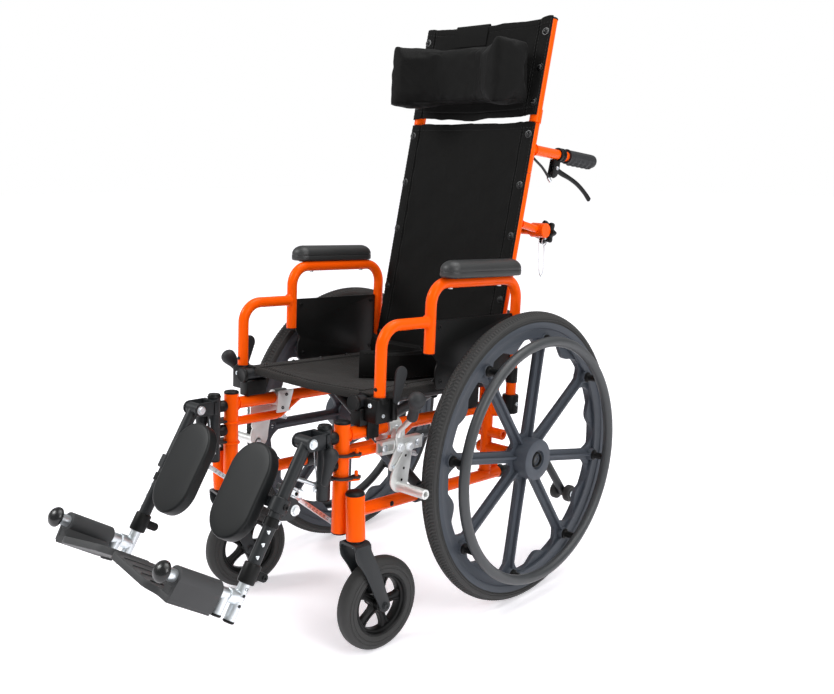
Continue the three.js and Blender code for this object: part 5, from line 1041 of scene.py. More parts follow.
def caster_fork(side):
    """Bent plate fork: two elbowed cheeks under a crown, stem bearing and axle bolt."""
    s = Shells(on_caster, side)
    a = np.linspace(math.pi + 0.5, 2 * math.pi + 0.5, 14)
    arc = CASTER_AXLE + 12 * heading(a)
    outline = np.concatenate([[(-19, 225), (-19, 199)], [(1, 170)], arc, [(37, 170), (17, 213), (17, 225)]])
    outline = rounded(outline, [3, 12, 16] + [0] * 14 + [14, 10, 3], 5)
    for inner in (-25, 21):
        s.add(plate("yz", outline, inner, inner + 4, 1.0), BLACK)
    bow = np.array([(-25, 216), (-24.4, 221), (-21, 226.4), (-16, 228), (16, 228), (21, 226.4), (24.4, 221),
        (25, 216), (21, 216), (20, 220), (17, 222.6), (-17, 222.6), (-20, 220), (-21, 216)], float)
    crown = [np.stack([bow[:, 0], np.full(14, float(y)), bow[:, 1]], -1) for y in (-19, -18.4, 16.4, 17)]
    s.add(crown, BLACK)
    s.add(stack((0, 0, 227), UP, [(0, 14.4), (1.6, 14.6), (3.7, 13.4)], 28), ZINC)
    s.add(stack((0, 0, 222.8), DOWN, [(0, 9.4), (1, 9.4), (1.2, 8.6), (7.6, 8.6), (8.4, 7.4)], 6), ZINC)
    s.add(stack((0, *CASTER_AXLE), OUT, [(-25, 4), (25, 4)], 16), ZINC)
    for sign in (1, -1):
        s.add(stack((sign * 17.4, *CASTER_AXLE), (sign, 0, 0), [(0, 6), (4, 6.6)], 20), PLASTIC)
        s.add(stack((sign * 25, *CASTER_AXLE), (sign, 0, 0), [(0, 8.2), (1, 8.2), (1.4, 6.6), (3.6, 6.4),
            (4.2, 5.4), (4.2, 2.8), (3, 2.6)], 24), BLACK)
    build_pair(side, "fork", s, "caster_fork", "caster_fork")


def caster_wheel(side):
    """Small wheel: grooved tyre on a moulded rim with five spokes."""
    s = Shells(on_caster, side)
    c = CASTER_AXLE
    tread = np.array([(60.5, 14), (62.4, 16.4), (66, 17), (70.4, 17), (71, 16.2), (72, 16.2), (72.6, 17),
        (77.4, 16.8), (78, 15.8), (79, 15.7), (79.6, 16.2), (84.6, 13.8), (88.6, 10.4), (90.2, 6.8),
        (90.6, 3)])
    tread = np.concatenate([tread, tread[::-1] * [1, -1]])
    s.add(turned(tread, c, 144), TYRE, loop=True)
    ring = np.array([(61, 15), (61, -15), (58.4, -15.6), (57, -14.6), (55.4, -11), (52, -9.4), (51, -7.6),
        (51, 7.6), (52, 9.4), (55.4, 11), (57, 14.6), (58.4, 15.6)])
    s.add(turned(ring, c, 120), PLASTIC, loop=True)
    for i in range(5):
        angle = i * 2 * math.pi / 5
        r = np.array([10, 16, 22, 32, 42, 48, 54.0])
        w = np.array([12, 9.6, 7.6, 7, 7.6, 10, 15.0])
        shape = np.array([(-1, -5), (-1, 5), (-0.7, 6.6), (-0.34, 6.6), (-0.26, 5), (0.26, 5), (0.34, 6.6),
            (0.7, 6.6), (1, 5), (1, -5), (0.7, -6.6), (0.34, -6.6), (0.26, -5), (-0.26, -5), (-0.34, -6.6),
            (-0.7, -6.6)])
        across = w[:, None] * shape[None, :, 0]
        y = c[0] + r[:, None] * math.cos(angle) - across * math.sin(angle)
        z = c[1] + r[:, None] * math.sin(angle) + across * math.cos(angle)
        s.add(np.stack([np.broadcast_to(shape[None, :, 1], y.shape), y, z], -1), PLASTIC)
    s.add(stack((-17, *c), OUT, [(0, 8), (0.6, 12), (2, 13.6), (9, 15), (25, 15), (32, 13.6), (33.4, 12),
        (34, 8)], 36), PLASTIC)
    for sign in (1, -1):
        s.add(stack((sign * 15.4, *c), (sign, 0, 0), [(0, 11), (0.9, 11), (0.9, 9.4), (0.2, 9.2), (0.2, 5)],
            28), ZINC)
    build_pair(side, "small_wheel", s, "caster_wheel", "caster_wheel", angle=30)


def tip_rollers(side):
    """Twin anti-tip rollers: rounded discs on either side of the tube."""
    s = Shells(on_chassis, side)
    for sign in (1, -1):
        s.add(stack((FRAME_X + sign * 10, *TIP_AXLE), (sign, 0, 0), [(0, 15.6), (0.6, 17), (2, 19),
            (3.4, 19.9), (12.6, 19.9), (14, 19), (15.4, 17), (16, 15.6), (15.2, 13.6), (15.2, 6)], 48),
            TYRE)
    build_pair(side, "twin_rollers", s, "tip_rollers", "tip_rollers")


# Wheel locks

def lock_bracket(side):
    """Channel on a clamp round the upper rail, with the pivot studs, inner plate and return spring."""
    s = Shells(on_chassis, side)
    x = FRAME_X
    y0, y1 = -358, -248
    lip = np.array([(190, 48), (206, 48), (206, 54.5), (201, 54.5), (201, 51.4), (194, 51.4), (194, 69.6),
        (201, 69.6), (201, 66.5), (206, 66.5), (206, 73), (190, 73)], float)
    soft = rounded(lip, 1.2, 3)
    channel = [np.stack([soft[:, 0], np.full(len(soft), float(y)), soft[:, 1]], -1)
        for y in (y0, y0 + 0.5, -326, -325.5)]
    s.add(channel, ALLOY)
    s.add(round_box((190, -326, 48), (206, y1, 73), 2.5, "yz", 1.0), ALLOY)
    s.add(stack((x, -317, 90.5), REAR, [(0, 12.9), (0, 16.6), (0.9, 17.6), (32.1, 17.6), (33, 16.6),
        (33, 12.9)], 40), ALLOY)
    s.add(round_box((182, -312, 66), (195, -286, 92), 3, "yz", 1.0), ALLOY)
    s.add(socket_screw((184.6, -299, 90.5), OUT, 5, 3.4), ZINC)
    s.add(plate("yz", rounded([(-322, 60), (-290, 60), (-276, 108), (-318, 108)], 3, 4), 148, 151.5, 0.6),
        ALLOY)
    for y, z in ((-296, 98), (-306, 70)):
        s.add(socket_screw((148.3, y, z), IN, 3.6, 1.8), PLASTIC)
    for y in (-349, -262):
        bolt(s, ZINC, (205, y, 60.5), OUT, 5, 3.4)
    for y in (-313.6, -293.5):
        s.add(stack((200, y, 58), OUT, [(0, 4), (12, 4)], 14), ZINC)
    bolt(s, BRIGHT_BOLT, (210.8, -313.6, 58), OUT, 6.6, 6)
    bolt(s, BRIGHT_BOLT, (215.4, -293.5, 58), OUT, 6.6, 6)
    turns, count = 9, 190
    t = np.linspace(0, 1, count)
    helix = np.stack([197 + 4.4 * np.cos(2 * math.pi * turns * t), -290 + 34 * t,
        44 - 10 * t + 4.4 * np.sin(2 * math.pi * turns * t)], -1)
    s.add(swept(helix, 0.9, 7), ZINC)
    build_pair(side, "lock_clamp", s, "chassis", "lock_bracket")


def lock_lever(side):
    """Bent blade with a bar that leads out to a waisted grip and bulb."""
    s = Shells(on_chassis, side)
    face = 207.0
    for a, b in (((-333, 24), (-313.6, 58)), ((-313.6, 58), (-318, 82))):
        s.add(plate("yz", link(a, 9, b, 9.02, 14), face, face + 3.5, 0.8), ALLOY)
    bar = bent([(208.75, -318, 80), (214, -320, 93), (251.75, -329, 125), (262, -335, 139)], 14, 8)
    s.add(swept(bar, 5.5, 18), ALLOY)
    start = np.array([251.75, -329, 125.0])
    reach = np.array([31, -22, 42.0])
    t = np.array([-0.08, -0.03, 0, 0.1, 0.3, 0.5, 0.62, 0.74, 0.86, 0.98, 1.08, 1.16, 1.21, 1.235])
    radii = np.array([6.2, 9.4, 10.4, 10.4, 10, 9.8, 10.8, 13, 15.2, 16.2, 15.2, 11.6, 6.8, 0.6])
    s.add(swept(start + reach * t[:, None], radii, 28), RUBBER)
    s.add(socket_screw((face + 3.4, -333, 24), OUT, 4.4, 2.4), ZINC)
    build_pair(side, "lock_handle", s, "lock_lever", "lock_lever")


def lock_shoe(side):
    """Swinging arm with its slotted guide and the hollow shoe bar that presses the tyre."""
    s = Shells(on_chassis, side)
    face = 211.5
    shoe = np.array([-320.5, -15.0])
    arm = rounded([(-304, 66), (-285, 66), (-288, 28), (-293, 4), (-294, -14), (-306, -28), (-325, -28),
        (-342, -12), (-339, 14), (-321, 33), (-309, 48)], [9, 9, 30, 20, 12, 10, 9, 12, 14, 18, 10], 6)
    s.add(plate("yz", arm, face, face + 3.5, 0.8), ALLOY)
    for y, z in ((-303, 42), (-307, 18), (-312, -4)):
        s.add(stack((face + 3.3, y, z), OUT, [(0, 2.8), (0.4, 2.8), (0.4, 0.2)], 14), PLASTIC)
    s.add(stack((face, *shoe), OUT, [(0, 8.6), (0.8, 9.5), (73.6, 9.5), (74.5, 8.8), (74.5, 5.6), (73, 4.8),
        (62, 4.7)], 36), ALLOY)
    s.add(stack((face, *shoe), IN, [(0, 6.4), (1.6, 6.2), (2.2, 5)], 20), ZINC)
    build_pair(side, "lock_shoe_arm", s, "lock_shoe", "lock_shoe")


# Legrests

def hanger(side):
    """Upright tube on two claws that drop over the hinge pins, with the pivot channel and release handle."""
    s = Shells(on_chassis, side)
    x, y = FRAME_X, HANGER_Y
    s.add(tube([(x, y, -22), (x, y, 110)], 13, sides=32), BLACK)
    s.add(stack((x, y, 109.5), UP, [(0, 14), (1.6, 14), (2.4, 12.8), (6, 12), (7, 11), (7, 0.3)], 32),
        PLASTIC)
    s.add(plug((x, y, -22), DOWN, 12.6, 3), PLASTIC)
    for z in (88, 37):
        s.add(stack((x, y, z), REAR, [(8, 9.5), (13, 10.4), (16, 12), (24.6, 12), (26.4, 11)], 28), PLASTIC)
    # Channel: web and two cheeks, cheeks round over the pivot bolt
    s.add(round_box((147, -484, 78), (190, -480.6, 106), 1.2, "xz", 0.5), BLACK)
    a = np.linspace(math.pi / 2, 1.5 * math.pi, 16)
    arc = LEG_PIVOT[1:] + 14 * heading(a)
    outline = np.concatenate([[(-474.5, 78), (-474.5, 106)], arc])
    for inner in (147, 187):
        s.add(plate("yz", outline, inner, inner + 3, 0.7), BLACK)
    s.add(round_box((147, -481, 102.6), (190, -474.5, 106), 1.2, "xy", 0.5), BLACK)
    s.add(stack((147, *LEG_PIVOT[1:]), OUT, [(-0.5, 5), (46, 5)], 18), ZINC)
    bolt(s, ZINC, (190, *LEG_PIVOT[1:]), OUT, 6.4, 5)
    bolt(s, ZINC, (147, *LEG_PIVOT[1:]), IN, 6.4, 5)
    for top in HANGER_PIN_TOPS:
        low = top + 0.3
        c = np.array([x, POST_Y])
        t = np.linspace(-math.pi / 2 - 0.25, math.pi / 4, 22)
        outer = c + 27 * heading(t)
        inner = c + 16 * heading(t)[::-1]
        s.add(plate("xy", np.concatenate([outer, inner]), low, low + 4, 0.7), BLACK)
        s.add(round_box((x - 10, y, low), (x + 10, -441, low + 4), 2, "xy", 0.6), BLACK)
        s.add(stack((*HANGER_PIN, low), UP, [(0, 4.7), (0, 9), (4, 9), (4, 4.7)], 28), BLACK)
    # Release handle: a waisted grip that hangs from the channel bolt
    top, foot = np.array([196, -476, 66.0]), np.array([194, -488, 14.0])
    t = np.array([-0.26, -0.22, -0.12, 0, 0.12, 0.3, 0.55, 0.8, 0.95, 1.02, 1.05])
    radii = np.array([0.8, 7.6, 12.4, 14, 13.4, 11, 9.2, 8.2, 7.8, 6, 0.8])
    s.add(swept(top + (foot - top) * t[:, None], radii, 28), RUBBER)
    s.add(swept([(188, -476, 83), (194, -476, 82), (196, -476, 74)], 5, 14), BLACK)
    build_pair(side, "leg_hanger", s, "hanger", "hanger")


def leg_tube(side):
    """Outer leg tube with pivot sleeve, clamp collar, stop holes, tab and the ratchet's pull handle."""
    s = Shells(on_leg, side)
    x = LEG_X
    s.add(stack((150.5, 0, 0), OUT, [(0, 11), (0.8, 12), (35.2, 12), (36, 11)], 28), BLACK)
    s.add(tube([(x, 0, -2), (x, 0, -258)], 11.6, sides=32), BLACK)
    s.add(stack((x, 0, -224), DOWN, [(0, 13.4), (1.2, 15), (3, 15.5), (33, 15.5), (35, 15), (36, 13.4),
        (36, 10.6), (30, 10.6)], 36), PLASTIC)
    s.add(stack((x, 0, -150), DOWN, [(-8, 13.2), (-7, 14.4), (7, 14.4), (8, 13.2)], 32), PLASTIC)
    # The bright slide tube shows through three stop holes
    for i in range(3):
        s.add(stack((x, -5, -167 - 23 * i), OUT, [(0, 3.6), (10.6, 3.6), (10.9, 3.2), (10.9, 0.2)], 16),
            ZINC)
    tab = link((15.5, -241), 8, (34, -241), 8.02, 10)
    s.add(plate("yz", tab, x - 4, x + 4, 1.0), PLASTIC)
    s.add(socket_screw((x + 4, 33, -241), OUT, 4.6, 2.4), PLASTIC)
    s.add(round_box((144, 0, -94), (x, 33, -82), 2.5, "xz", 1.0), ZINC)
    s.add(stack((134, 27, -88), OUT, [(0, 4), (38, 4)], 16), ZINC)
    bolt(s, ZINC, (134.6, 27, -88), IN, 5.4, 4)
    # Zinc clamp with the bent pull handle of the ratchet
    s.add(round_box((x - 20, 12, -100), (x - 4, 33, -78), 3, "xy", 1.2), ZINC)
    s.add(round_box((x - 24, 24, -112), (x - 18, 40, -92), 3, "yz", 1.0), ZINC)
    pull = bent([(x - 12, 10, -66), (x - 12, 30, -62), (x - 12, 71, -58), (x - 12, 82, -42),
        (x - 12, 88, -46)], 8, 8)
    s.add(swept(pull, 3.9, 14), ZINC)
    s.add(stack((x - 12, 80, -64), (0.2, 0.8, 0.4), [(-7, 4.6), (-5, 5.4), (5, 5.4), (7, 4.6)], 16), ZINC)
    s.add(stack((x - 14, 46, -84), OUT, [(-5, 6.4), (-3, 8.4), (3, 8.4), (5, 6.4)], 18), ZINC)
    spring = bent([(x - 12, 37, -6), (x - 12, 50, -24), (x - 12, 71, -50)], 6, 6)
    s.add(swept(spring, 0.9, 8), ZINC)
    build_pair(side, "leg_outer_tube", s, "leg_tube", "leg_tube")


def leg_strut(side):
    """Flat ratchet bar that trails behind, with its zinc block at the pivot and a row of notches."""
    s = Shells(on_leg, side)
    lean = math.radians(6.3)
    d = np.array([math.cos(lean), -math.sin(lean)])
    start = np.array([27, -88.0])
    end = start + 172 * d
    s.add(plate("yz", link(start, 4.6, end, 4.5, 12), 137, 141, 0.6), ZINC)
    s.add(plate("yz", link(start, 9, start + 34 * d, 7.8, 16), 134.9, 142, 1.2), ZINC)
    for i in range(9):
        y, z = start + d * (62 + 11 * i)
        for sign, x in ((1, 141), (-1, 137)):
            s.add(stack((x - 0.1 * sign, y, z), (sign, 0, 0), [(0, 2.4), (0.25, 2.4), (0.3, 1.8),
                (-0.3, 1.6)], 12), BLACK)
    build_pair(side, "ratchet_bar", s, "leg_strut", "leg_strut")


def leg_slide(side):
    """Inner slide tube with its holes, the footplate's rod with its end ball, and the short stub."""
    s = Shells(on_leg, side)
    x, z = LEG_X, FOOT_ROD_Z
    s.add(tube([(x, 0, -150), (x, 0, -326)], 10.2, sides=28), ZINC)
    s.add(plug((x, 0, -326), DOWN, 10.6, 4), PLASTIC)
    s.add(tube([(x, 0, z), (x, -166, z)], 10.5, sides=28), ZINC)
    s.add(tube([(x, -34, z), (x, -34, z - 36)], 10.5, sides=28), ZINC)
    s.add(plug((x, -34, z - 36), DOWN, 10.9, 4), PLASTIC)
    s.add(stack((x, 0, z), FRONT, [(8, 12.6), (10, 12.8), (26, 12.8), (28, 12)], 28), ZINC)
    a = np.linspace(0, math.pi / 2, 10)
    ball = [(0, 12), (0.6, 17.4), (1.6, 19.2), (3, 19.5)]
    ball += [(3 + 16.5 * math.sin(t), 19.5 * math.cos(t) + 0.1) for t in a[1:]]
    s.add(stack((x, -168, z), FRONT, [(t * 0.86, r * 0.95) for t, r in ball], 36), CAP)
    for proud, hole_z in ((10, -268), (10.3, -280), (10.3, -298)):
        s.add(stack((x + proud, 0, hole_z), OUT, [(0, 3), (0.4, 3), (0.4, 2.2), (-0.4, 2)], 14), BLACK)
    build_pair(side, "foot_slide", s, "leg_slide", "leg_slide")


def on_plate(points, side):
    """Footplate millimetres, level about its rod, tilted 8 degrees and hung on the leg slide."""
    p = np.asarray(points, float)
    c, s = math.cos(PLATE_TILT), math.sin(PLATE_TILT)
    x, z = p[..., 0] * c + p[..., 2] * s + LEG_X, -p[..., 0] * s + p[..., 2] * c + FOOT_ROD_Z
    return on_leg(np.stack([x, p[..., 1], z], -1), side)


def footplate(side):
    """Moulded plate hung from a barrel on the rod, lipped along its edge, with four low ribs on top."""
    s = Shells(on_plate, side)
    s.add(stack((0, -52, 0), FRONT, [(0, 10.9), (0, 16.4), (1.2, 17.5), (93.8, 17.5), (95, 16.4),
        (95, 10.9)], 40), COMPOSITE)
    skirt = rounded([(10.5, -37), (17.4, -37), (17.4, 0), (11.5, 2)], [2, 4, 3, 2], 5)
    s.add(plate("xz", skirt, -147, -52, 0.8), COMPOSITE)
    wall = rounded([(-11, -30), (11, -30), (12, -8), (-12, -8)], 3, 4)
    s.add(plate("xz", wall, -146, -53, 0.8), COMPOSITE)
    outline = rounded([(15, -52), (-147, -52), (-161, -66), (-161, -151), (-147, -165), (-33, -165),
        (-15, -147), (15, -147)], [3, 10, 10, 12, 12, 12, 8, 3], 7)
    s.add(crowned("xy", outline, [(-40, 3), (-40.6, 1.4), (-40, 0.2), (-38, 0), (-30.6, 0), (-29, 0.5),
        (-28.2, 1.8), (-28.4, 3.6), (-29.6, 5.4)]), COMPOSITE)
    for i in range(4):
        x = -132 + 30 * i
        s.add(round_box((x - 1.2, -150 if x < -36 else -138, -30.2), (x + 1.2, -62, -28.0), 1.1, "xy", 0.5),
            COMPOSITE)
    s.add(round_box((-40, -64, -43.6), (-14, -52.8, -38), 3, "xy", 1.0), COMPOSITE)
    bolt(s, ZINC, (14, -60, -20), OUT, 4.4, 3)
    build_pair(side, "foot_board", s, "footplate", "footplate")


def calf_pad(side):
    """Moulded calf pad: a stadium with a crowned face and rounded rim, on its steel arm and clamp."""
    s = Shells(on_leg, side)
    outline = stadium(92, -118, 53, 38, 36)
    depth = [(-6.2, 4), (-6.6, 1.6), (-8, 0.3), (-10.5, 0), (-25, 0), (-27.2, 0.5), (-28.8, 1.7),
        (-29.6, 3.4), (-29.9, 5.4), (-30.3, 18), (-30.6, 34)]
    s.add(crowned("xz", outline, depth), SKIN)
    back = crowned("xz", stadium(92, -118, 40, 34, 20), [(-6.6, 0), (-4.4, 0), (-3.6, 1.4)])
    s.add(back, PLASTIC)
    pad = build_pair(side, "calf_cushion", s, "calf_pad", "calf_pad", angle=50)
    t = Shells(on_leg, side)
    t.add(stack((LEG_X, 0, -105), DOWN, [(0, 13.2), (0, 16.4), (1.2, 17.5), (24.8, 17.5), (26, 16.4),
        (26, 13.2)], 36), BLACK)
    t.add(round_box((60, -4, -127), (LEG_X - 8, -0.2, -109), 3, "xz", 0.6), BLACK)
    ear = rounded([(8, -98), (30, -96), (47, -108), (42, -132), (14, -142), (8, -140)], [2, 6, 8, 10, 5, 2],
        5)
    t.add(plate("yz", ear, LEG_X - 1, LEG_X + 5, 0.8), BLACK)
    bolt(t, BRIGHT_BOLT, (LEG_X + 5, 34.8, -115), OUT, 7, 6)
    t.add(stack((LEG_X + 11, 4, -146), OUT, [(0, 4.4), (1.6, 4.4), (2.6, 3.6), (3, 1.6), (3, 0.2)], 16),
        ZINC)
    t.add(socket_screw((LEG_X + 17, 0, -118), OUT, 5.4, 3.2), PLASTIC)
    for x in (74, 110):
        t.add(socket_screw((x, -0.4, -118), REAR, 4.4, 2.4), ZINC)
    build(name(side, "calf_bracket"), t, name(side, "calf_pad"))


# Back

def handle_at(distance):
    """A place along the push handle's axis, in the back's frame."""
    c, s = math.cos(HANDLE_SLOPE), math.sin(HANDLE_SLOPE)
    return np.array([FRAME_X, distance * c, HANDLE_Z + distance * s])


def back_tube(side):
    """Upright with push handle, clamp, lever housing, cable, and the eye that carries the spreader bar."""
    s = Shells(on_back, side)
    x = FRAME_X
    s.add(tube([(x, 0, -12), (x, 0, 451)], TUBE_RADIUS, sides=32, soft=0.6), ORANGE)
    s.add(tube([(x, 0, 452), (x, 0, 560)], TUBE_RADIUS, sides=32, soft=0.6), ORANGE)
    s.add(tube([(x, 0, 440), (x, 0, 465)], 10.2, sides=32), BLACK)
    s.add(tube([handle_at(0), handle_at(236)], TUBE_RADIUS, sides=28), ORANGE)
    axis = handle_at(1) - handle_at(0)
    s.add(weld(handle_at(0), axis, 11, 9.6, 5), ORANGE)
    s.add(stack(handle_at(100), axis, [(0, 11.2), (0, 14.8), (0.9, 15.5), (5.6, 15.5), (6.4, 14.2),
        (11.6, 14.2), (12.4, 15.5), (17.1, 15.5), (18, 14.8), (18, 11.2)], 32), PLASTIC)
    housing = rounded([(84, 466), (91, 462), (104, 470), (108, 488), (106, 505), (86, 502)],
        [4, 4, 6, 6, 3, 3], 5)
    s.add(plate("yz", housing, x - 7, x - 3.6, 0.8), PLASTIC)
    s.add(plate("yz", housing, x + 3.6, x + 7, 0.8), PLASTIC)
    s.add(round_box((x - 6, 84, 490), (x + 6, 108, 504), 2, "yz", 0.8), PLASTIC)
    s.add(stack((x - 8, 98, 487), OUT, [(0, 3.4), (16, 3.4)], 14), ZINC)
    s.add(socket_screw((x + 7, 98, 487), OUT, 4.4, 2), ZINC)
    cable = spline([(x, 9, 492), (x, 26, 486), (x, 52, 478), (x, 76, 466), (x, 88, 458)], 24)
    s.add(swept(cable, np.linspace(2.6, 3.0, 24), 12), RUBBER)
    s.add(stack((x, 90, 456), (0, -0.86, 0.5), [(0, 4), (10, 4), (12, 3)], 16), ZINC)
    s.add(tube([(x, 0, SPREADER_Z), (x, 70, SPREADER_Z)], 8, sides=24), ORANGE)
    s.add(weld((x, 0, SPREADER_Z), REAR, 8, 9.6, 4), ORANGE)
    s.add(stack((x - 19, SPREADER_Y, SPREADER_Z), OUT, [(0, 11.6), (0, 14.6), (1.4, 16), (36.6, 16),
        (38, 14.6), (38, 11.6)], 36), ORANGE)
    ear = link((0, 150), 11, (25, 150), 8, 14)
    s.add(plate("yz", ear, x - 4, x + 4, 1.0), BLACK)
    s.add(stack((x, 25, 150), IN, [(0, 4), (14, 4), (15, 3.2)], 16), ZINC)
    build_pair(side, "back_upright", s, "back", "back_tube")


def grip(side):
    """Hand grip: a ribbed sleeve with four finger ridges underneath and a rounded end."""
    s = Shells(on_back, side)
    start, end = 133.0, 242.0
    t = np.linspace(0, 1, 72)
    base = np.full(72, 15.0)
    base[:3] += [1.2, 1.6, 1.0]
    base[-4:] = [14.6, 13.4, 11.0, 1.0]
    distance = start + (end - start) * t + np.where(t > 0.97, 2.0 * (t - 0.97) / 0.03, 0)
    c, sn = math.cos(HANDLE_SLOPE), math.sin(HANDLE_SLOPE)
    axis, up = np.array([0, c, sn]), np.array([0, -sn, c])
    a = angles(40)
    ridge = np.maximum(0, -np.sin(a))[None] ** 1.5 * (0.5 - 0.5 * np.cos(2 * math.pi * 5
        * np.clip((t - 0.08) / 0.84, 0, 1)))[:, None] * 4.2
    flute = 0.5 * np.cos(10 * a)[None] * smooth(t, 0.05, 0.12)[:, None]
    flute = flute * (1 - smooth(t, 0.88, 0.93))[:, None]
    r = base[:, None] + ridge + flute * (base[:, None] > 14)
    centre = np.array([FRAME_X, 0, HANDLE_Z]) + distance[:, None] * axis
    rings = centre[:, None] + r[..., None] * (np.cos(a)[None, :, None] * np.array([1, 0, 0])
        + np.sin(a)[None, :, None] * up)
    s.add(rings, RUBBER)
    build_pair(side, "hand_grip", s, "back", "grip", angle=50)


def recline_lever(side):
    """Brake-type lever: a flattened bar that curls down and ends in a small ball."""
    s = Shells(on_back, side)
    reach = np.array([0, 28, 62, 97, 130, 157.0])
    drop = np.array([0, 5, 8, 14, 25, 38.0])
    half = np.array([6, 6, 5, 5, 5, 5.5])
    path = spline(np.stack([np.full(6, FRAME_X), 98 + reach, 487 - drop], -1), 48)
    t = np.linspace(0, 5, 48)
    height = np.interp(t, np.arange(6), half)
    end = np.where(t > 4.86, np.sqrt(np.maximum(1 - ((t - 4.86) / 0.15) ** 2, 0.02)), 1)
    height = np.where(t < 0.4, 6.2, height) * end
    section = circle(1.0, 20)
    section = np.sign(section) * np.abs(section) ** 0.7
    along = unit(np.gradient(path, axis=0))
    up = unit(np.cross(along, [1.0, 0, 0]))
    width = np.interp(t, [0, 1, 4, 5], [3, 3, 3.6, 4.2]) * end
    across = section[None, :, :1] * width[:, None, None] * np.array([1.0, 0, 0])
    s.add(path[:, None] + across + section[None, :, 1:] * height[:, None, None] * up[:, None], PLASTIC)
    build_pair(side, "squeeze_lever", s, "recline_lever", "recline_lever", angle=50)


def spreader_bar():
    """Bar between the uprights: orange tube, lobed knobs behind its ends, a pull pin and its bead chain."""
    s = Shells(on_back)
    s.add(tube([(-186.8, SPREADER_Y, SPREADER_Z), (186.8, SPREADER_Y, SPREADER_Z)], TUBE_RADIUS, sides=28),
        ORANGE)
    levels = [(98.4, 0.72), (98.8, 0.82), (100, 0.94), (102.6, 1.0), (109, 1.0), (111.8, 0.96),
        (113.4, 0.86), (114.2, 0.72), (114.3, 0.5), (113.4, 0.44), (113.4, 0.02)]
    for sign in (1, -1):
        a = angles(112)
        r = 23.5 + 3.5 * np.cos(7 * a)
        centre = sign * FRAME_X
        rings = [np.stack([centre + r * k * np.cos(a), np.full(112, y), SPREADER_Z + r * k * np.sin(a)], -1)
            for y, k in levels]
        s.add(np.stack(rings), PLASTIC)
        s.add(stack((centre, 90, SPREADER_Z), REAR, [(0, 4.8), (10, 4.8)], 18), ZINC)
        s.add(stack((centre, 113, SPREADER_Z), REAR, [(0, 5), (1.0, 5), (1.3, 4), (1.3, 0.2)], 18), ZINC)
    s.add(swept(spread_out("yz", circle(8, 30), 0) + [176, 96, 322], 1.1, 8), ZINC, loop=True)
    s.add(stack((180, 92, 330), (-0.3, -0.4, 1), [(-3, 2.2), (16, 2.2)], 12), ZINC)
    build("spreader_tube", s, "back", ["spreader_bar"])
    t = Shells(on_back)
    route = [(176, 74, 337), (178, 78, 300), (181, 88, 258), (183, 96, 246), (182, 101, 262),
        (179, 98, 300), (176, 97, 315)]
    chain = spline(route, 60)
    for i in range(60):
        t.add(stack(chain[i] - [0, 0, 1.2], UP, [(0, 0.3), (0.5, 1.0), (1.2, 1.3), (1.9, 1.0), (2.4, 0.3)],
            8), ZINC)
    build("pin_chain", t, "back")


def headrest_tube(side):
    """Post that slides in the upright, with its collar and end plug."""
    s = Shells(on_back, side)
    x = FRAME_X
    s.add(tube([(x, 0, 560.4), (x, 0, 784)], TUBE_RADIUS, sides=32), ORANGE)
    s.add(stack((x, 0, 560.3), UP, [(0, 11.2), (0, 12.4), (0.7, 13), (29, 13), (29.8, 12.2), (30, 10.9)],
        32), ORANGE)
    s.add(plug((x, 0, 783), UP, 11.6, 4), PLASTIC)
    build_pair(side, "headrest_post", s, "headrest", "headrest_tube")


def sling_sheet(bottom, top, rear, sag, seed, corner):
    """Grid of a sling's face: flat over the tubes, sagging by 1 - share ** 2.4 between, creased a little."""
    z = np.linspace(bottom, top, 120)[:, None]
    x = np.concatenate([np.linspace(-178, -146, 14), np.linspace(-144, 144, 90),
        np.linspace(146, 178, 14)])[None]
    share = np.clip(np.abs(x) / 157, 0, 1)
    belly = sag * (1 - share ** 2.4) * (0.55 + 0.45 * np.sin(math.pi * (z - bottom) / (top - bottom)))
    wrap = 15.4 - np.sqrt(np.maximum(15.4 ** 2 - np.maximum(np.abs(x) - 168, 0) ** 2, 0))
    inside = smooth(154 - np.abs(x), 0, 26)
    pull = rumple(x * 0.6, z, 2.0, 150, seed) * inside + rumple(x, z * 0.35, 0.7, 46, seed + 7) * inside
    near = smooth(40 - (155 - np.abs(x)), 0, 40) * smooth(155 - np.abs(x), 0, 6)
    pucker = near * 1.1 * np.sin(z / 9 + 0.5 * np.sin(z / 31))
    seam = -2.6 * np.exp(-((np.abs(x) - 149.5) / 2.6) ** 2)
    hems = 0.9 * (np.exp(-((z - top + 14) / 1.6) ** 2) + np.exp(-((z - bottom - 14) / 1.6) ** 2)) * inside
    y = rear + belly + wrap + pull + pucker - seam + hems
    edge = rumple(x, 0 * x, 2.2, 60, seed + 1)
    zz = z + edge * smooth(np.abs(z - (bottom + top) / 2), (top - bottom) / 2 - 20, (top - bottom) / 2)
    zz = zz + corner * smooth(np.abs(x), 135, 172) * smooth(z, top - 50, top)
    zz = zz - corner * (1 - share ** 2) * smooth(-z, -bottom - 50, -bottom)
    return np.stack([x + 0 * z, y, zz], -1)


